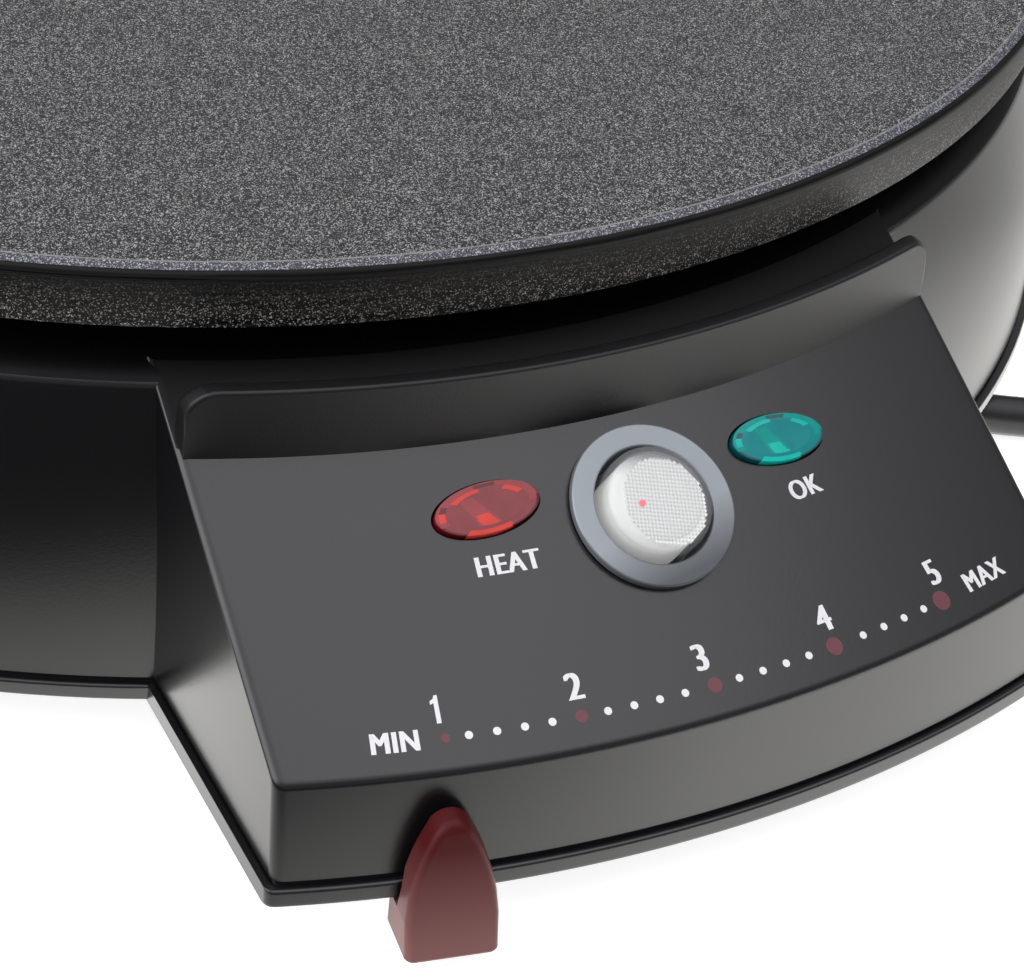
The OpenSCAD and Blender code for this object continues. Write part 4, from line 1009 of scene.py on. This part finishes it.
class CREPE_OT_print(bpy.types.Operator):
    """Prints the scale, its numbers and the plain words on the panel"""

    bl_idname = "crepe.print"
    bl_label = "Printed scale"

    def execute(self, context):
        parts = [self.lettering(text, *place) for text, place in PRINT.items()]
        parts += [self.dot(angle, 1.1) for angle in SMALL_DOTS]
        # pad printing ink: opaque, flat and a little dull
        white = plain_material("white_pad_print", tint("print_white"), roughness=0.45, spacing=0.4,
                               height=0.002, spread=0.03)
        finished("scale_print", merged(*parts), [white])
        burgundy = plain_material("burgundy_pad_print", linear("#6a3640"), roughness=0.45, spacing=0.4,
                                  height=0.002, spread=0.05)
        finished("setting_dots", merged(*[self.dot(*place) for place in BIG_DOTS]), [burgundy])
        return {"FINISHED"}

    @staticmethod
    def dot(angle, width):
        """A printed dot on the scale's circle."""
        return moved(cylinder(width / 2, PRINT_THICK, 32), panel_matrix(angle, DOT_R))

    @staticmethod
    def lettering(text, angle, r, height):
        """Text of that cap height, wrapped on the panel round its centre."""
        curve = bpy.data.curves.new("lettering", "FONT")
        curve.body = text
        curve.align_x, curve.align_y = "CENTER", "CENTER"
        curve.size = height / 0.72
        curve.space_character = 1.1
        holder = linked("lettering", curve)
        bpy.context.view_layer.update()
        depsgraph = bpy.context.evaluated_depsgraph_get()
        mesh = bpy.data.meshes.new_from_object(holder.evaluated_get(depsgraph))
        bold, shift, lift = 0.065 * height, 0, 0
        bm = bmesh.new()
        if text == "1":
            mesh.clear_geometry()
            mesh.from_pydata([(x * height, y * height, 0) for x, y in ONE], [], [range(len(ONE))])
            bold = 0.0
        # five copies side by side make the strokes bolder, the outer ones a little higher
        for step in range(-2, 3):
            new_shift, new_lift = step * bold / 2, 0.006 * abs(step) + 0.02
            mesh.transform(Matrix.Translation((new_shift - shift, 0, new_lift - lift)))
            shift, lift = new_shift, new_lift
            bm.from_mesh(mesh)
        bpy.data.objects.remove(holder)
        bpy.data.curves.remove(curve)
        bpy.data.meshes.remove(mesh)
        bmesh.ops.remove_doubles(bm, verts=bm.verts, dist=SAME_POINT)
        for vert in bm.verts:
            at_r = r - vert.co.y * math.cos(SLOPE)
            turn = math.radians(angle) + vert.co.x * 0.86 / r
            outward = Vector((math.sin(turn), -math.cos(turn), 0))
            rise = (outward * math.sin(SLOPE) + Vector((0, 0, math.cos(SLOPE)))) * vert.co.z
            vert.co = outward * at_r + Vector((0, 0, panel_z(at_r))) + rise
        return bm


# material: colour, roughness, metallic, its grain's spacing and height in millimetres, the CAD nodes
FITTINGS = {
    # bright grey steel with a soft sheen
    "zinc_plated_steel": ("#a9abad", 0.32, 1.0, 1.2, 0.006, (
        "element_clamps", "clamp_screws", "plate_spacers", "plate_screws", "thermostat_bracket",
        "bracket_screws", "cover_screws", "bezel_nut", "heat_shaft", "slider_arm", "hub_screw")),
    # drawn steel tube, browned by heat
    "heat_tinted_sheath": ("#5c5048", 0.45, 1.0, 2.0, 0.02, ("heating_element",)),
    # rolled steel sheet with an aluminium skin: pale and softly bright
    "aluminised_sheet": ("#b2b4b6", 0.38, 1.0, 3.0, 0.02, ("heat_shield",)),
    # pressed ceramic: cream and matt
    "unglazed_steatite": ("#ddd7c8", 0.7, 0.0, 0.8, 0.02, ("thermostat",)),
    # turned or stamped: warm yellow and bright
    "brass": ("#c9a560", 0.3, 1.0, 1.0, 0.005, ("thermal_fuse", "plug_pins")),
    # moulded ABS with a coarse grain: dark and dull
    "grained_cover_plastic": ("#19191b", 0.55, 0.0, 0.6, 0.03, ("bottom_cover",)),
    # near black, without shine
    "moulded_rubber": ("#1d1d1d", 0.75, 0.0, 0.7, 0.02, ("rubber_feet",)),
    # moulded: off-white and slightly waxy
    "white_nylon": ("#dcd8ce", 0.45, 0.0, 1.0, 0.01, ("terminal_block", "lamp_holders")),
    # lacquer on the board: dark green and glossy
    "green_solder_mask": ("#1f5a33", 0.35, 0.0, 2.0, 0.005, ("led_board",)),
    # cast lens of the chip: deep red and glossy
    "red_epoxy": ("#d2141a", 0.15, 0.0, 1.0, 0.002, ("indicator_led",)),
    # blown glass over pale electrodes: shiny off-white
    "lamp_glass": ("#f1ece6", 0.1, 0.0, 1.0, 0.002, ("neon_lamps",)),
    # extruded insulation of the three wires: plain colours, satin
    "wires_live_pvc": ("#1a1a1a", 0.4, 0.0, 0.8, 0.01, ("wires_live",)),
    "wires_neutral_pvc": ("#dedede", 0.4, 0.0, 0.8, 0.01, ("wires_neutral",)),
    "wires_earth_pvc": ("#3f8a3a", 0.4, 0.0, 0.8, 0.01, ("wires_earth",)),
}


class CREPE_OT_fittings(bpy.types.Operator):
    """Gives the hardware that stays as built in CAD its finishes"""

    bl_idname = "crepe.fittings"
    bl_label = "Inner parts and hardware"

    def execute(self, context):
        for name, (colour, roughness, metallic, spacing, height, nodes) in FITTINGS.items():
            material = plain_material(name, linear(colour), roughness, metallic, spacing, height)
            for node in nodes:
                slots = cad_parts[node].data.materials
                slots.clear()
                slots.append(material)
        return {"FINISHED"}


class CREPE_OT_stage(bpy.types.Operator):
    """Lays a pale seamless floor and lights it softly"""

    bl_idname = "crepe.stage"
    bl_label = "Floor and light"

    def execute(self, context):
        scene = context.scene
        scene.view_settings.view_transform = "Standard"
        bm = bmesh.new()
        bmesh.ops.create_grid(bm, x_segments=8, y_segments=8, size=4)
        floor = linked("floor", mesh_of("floor", bm))
        # matt pale card: white to the eye, with the object's soft shadow on it
        material = bpy.data.materials.new("white_sweep")
        tree = emptied(material)
        matt = add(tree, "BsdfDiffuse", Color=linear("#ececec"))
        lit = add(tree, "Emission", Color=(1, 1, 1, 1), Strength=self.seen(tree, 0.8))
        both = add(tree, "AddShader", _0=matt.outputs[0], _1=lit.outputs[0])
        # to mirrored rays the floor is a sweep: dark on the left, brightest near the middle
        place = add(tree, "TexCoord").outputs["Object"]
        reach = add(tree, "VectorMath", "DOT_PRODUCT", _0=place,
                    _1=(0.8, 0.6, 0)).outputs["Value"]
        near = add(tree, "MapRange", Value=reach, From_Min=-0.215, From_Max=-0.115, To_Min=0.02, To_Max=2.6)
        far = add(tree, "MapRange", Value=reach, From_Min=-0.01, From_Max=0.11, To_Min=1.0, To_Max=0.3)
        glow = add(tree, "Math", "MULTIPLY", _0=near.outputs["Result"], _1=far.outputs["Result"])
        mirrored = add(tree, "Emission", Color=linear("#fffefa"), Strength=glow.outputs[0])
        shown = add(tree, "MixShader", _0=add(tree, "LightPath").outputs["Is Glossy Ray"],
                    _1=both.outputs[0], _2=mirrored.outputs[0])
        add(tree, "OutputMaterial", Surface=shown.outputs[0])
        floor.data.materials.append(material)

        # the world is white to the eye, and lights the object by a soft dome that is brighter on one side
        scene.world = bpy.data.worlds.new("studio")
        tree = emptied(scene.world)
        backdrop = add(tree, "Background", Color=(1, 1, 1, 1), Strength=self.seen(tree, 1.0))
        heading = add(tree, "TexCoord").outputs["Generated"]
        height = add(tree, "SeparateXYZ", Vector=heading).outputs["Z"]
        dome = add(tree, "MapRange", Value=height, From_Min=0.5, From_Max=0.9, To_Min=0.28, To_Max=1.5)
        left = add(tree, "VectorMath", "DOT_PRODUCT", _0=heading, _1=(-0.85, 0.2, 0.49))
        side = add(tree, "MapRange", Value=left.outputs["Value"], From_Min=0.8, From_Max=0.97, To_Max=2.8)
        level = add(tree, "Math", "ADD", _0=dome.outputs["Result"], _1=side.outputs["Result"])
        soft = add(tree, "Background", Color=linear("#f7f7fb"), Strength=level.outputs[0])
        both = add(tree, "AddShader", _0=backdrop.outputs[0], _1=soft.outputs[0])
        add(tree, "OutputWorld", Surface=both.outputs[0])

        data = bpy.data.lights.new("overhead", "AREA")
        data.shape, data.size, data.energy = "SQUARE", 1.0, 1.5
        lamp = linked("overhead", data)
        lamp.location = (0.3, -0.35, 1.2)
        aim = Vector((0, -0.16, 0.04)) - lamp.location
        lamp.rotation_euler = aim.to_track_quat("-Z", "Y").to_euler()
        return {"FINISHED"}

    @staticmethod
    def seen(tree, strength):
        """A strength only for what is seen directly or through glass."""
        path = add(tree, "LightPath")
        plain = add(tree, "Math", "MAXIMUM", _0=path.outputs["Is Camera Ray"],
                    _1=path.outputs["Is Transmission Ray"]).outputs[0]
        return add(tree, "Math", "MULTIPLY", _0=plain, _1=strength).outputs[0]


STEPS = (CREPE_OT_camera, CREPE_OT_cord, CREPE_OT_plate, CREPE_OT_base, CREPE_OT_guard, CREPE_OT_knob,
         CREPE_OT_indicators, CREPE_OT_print, CREPE_OT_fittings, CREPE_OT_stage)


class CREPE_PT_panel(bpy.types.Panel):
    """Lists the crepe maker's pieces in the sidebar"""

    bl_idname = "CREPE_PT_panel"
    bl_label = "Crepe maker"
    bl_space_type = "VIEW_3D"
    bl_region_type = "UI"
    bl_category = "Crepe maker"

    def draw(self, context):
        for group in (context.scene.crepe_sizes, context.scene.crepe_colours):
            for name in group.__annotations__:
                self.layout.prop(group, name)
        for step in STEPS:
            self.layout.operator(step.bl_idname)


CLASSES = (CrepeSizes, CrepeColours) + STEPS + (CREPE_PT_panel,)


def register():
    for item in CLASSES:
        bpy.utils.register_class(item)
    bpy.types.Scene.crepe_sizes = bpy.props.PointerProperty(type=CrepeSizes)
    bpy.types.Scene.crepe_colours = bpy.props.PointerProperty(type=CrepeColours)


def unregister():
    del bpy.types.Scene.crepe_sizes
    del bpy.types.Scene.crepe_colours
    for item in reversed(CLASSES):
        bpy.utils.unregister_class(item)


def main():
    """Registers the add-on and builds every piece in order."""
    register()
    for step in STEPS:
        group, name = step.bl_idname.split(".")
        getattr(getattr(bpy.ops, group), name)()


if __name__ == "__main__":
    main()
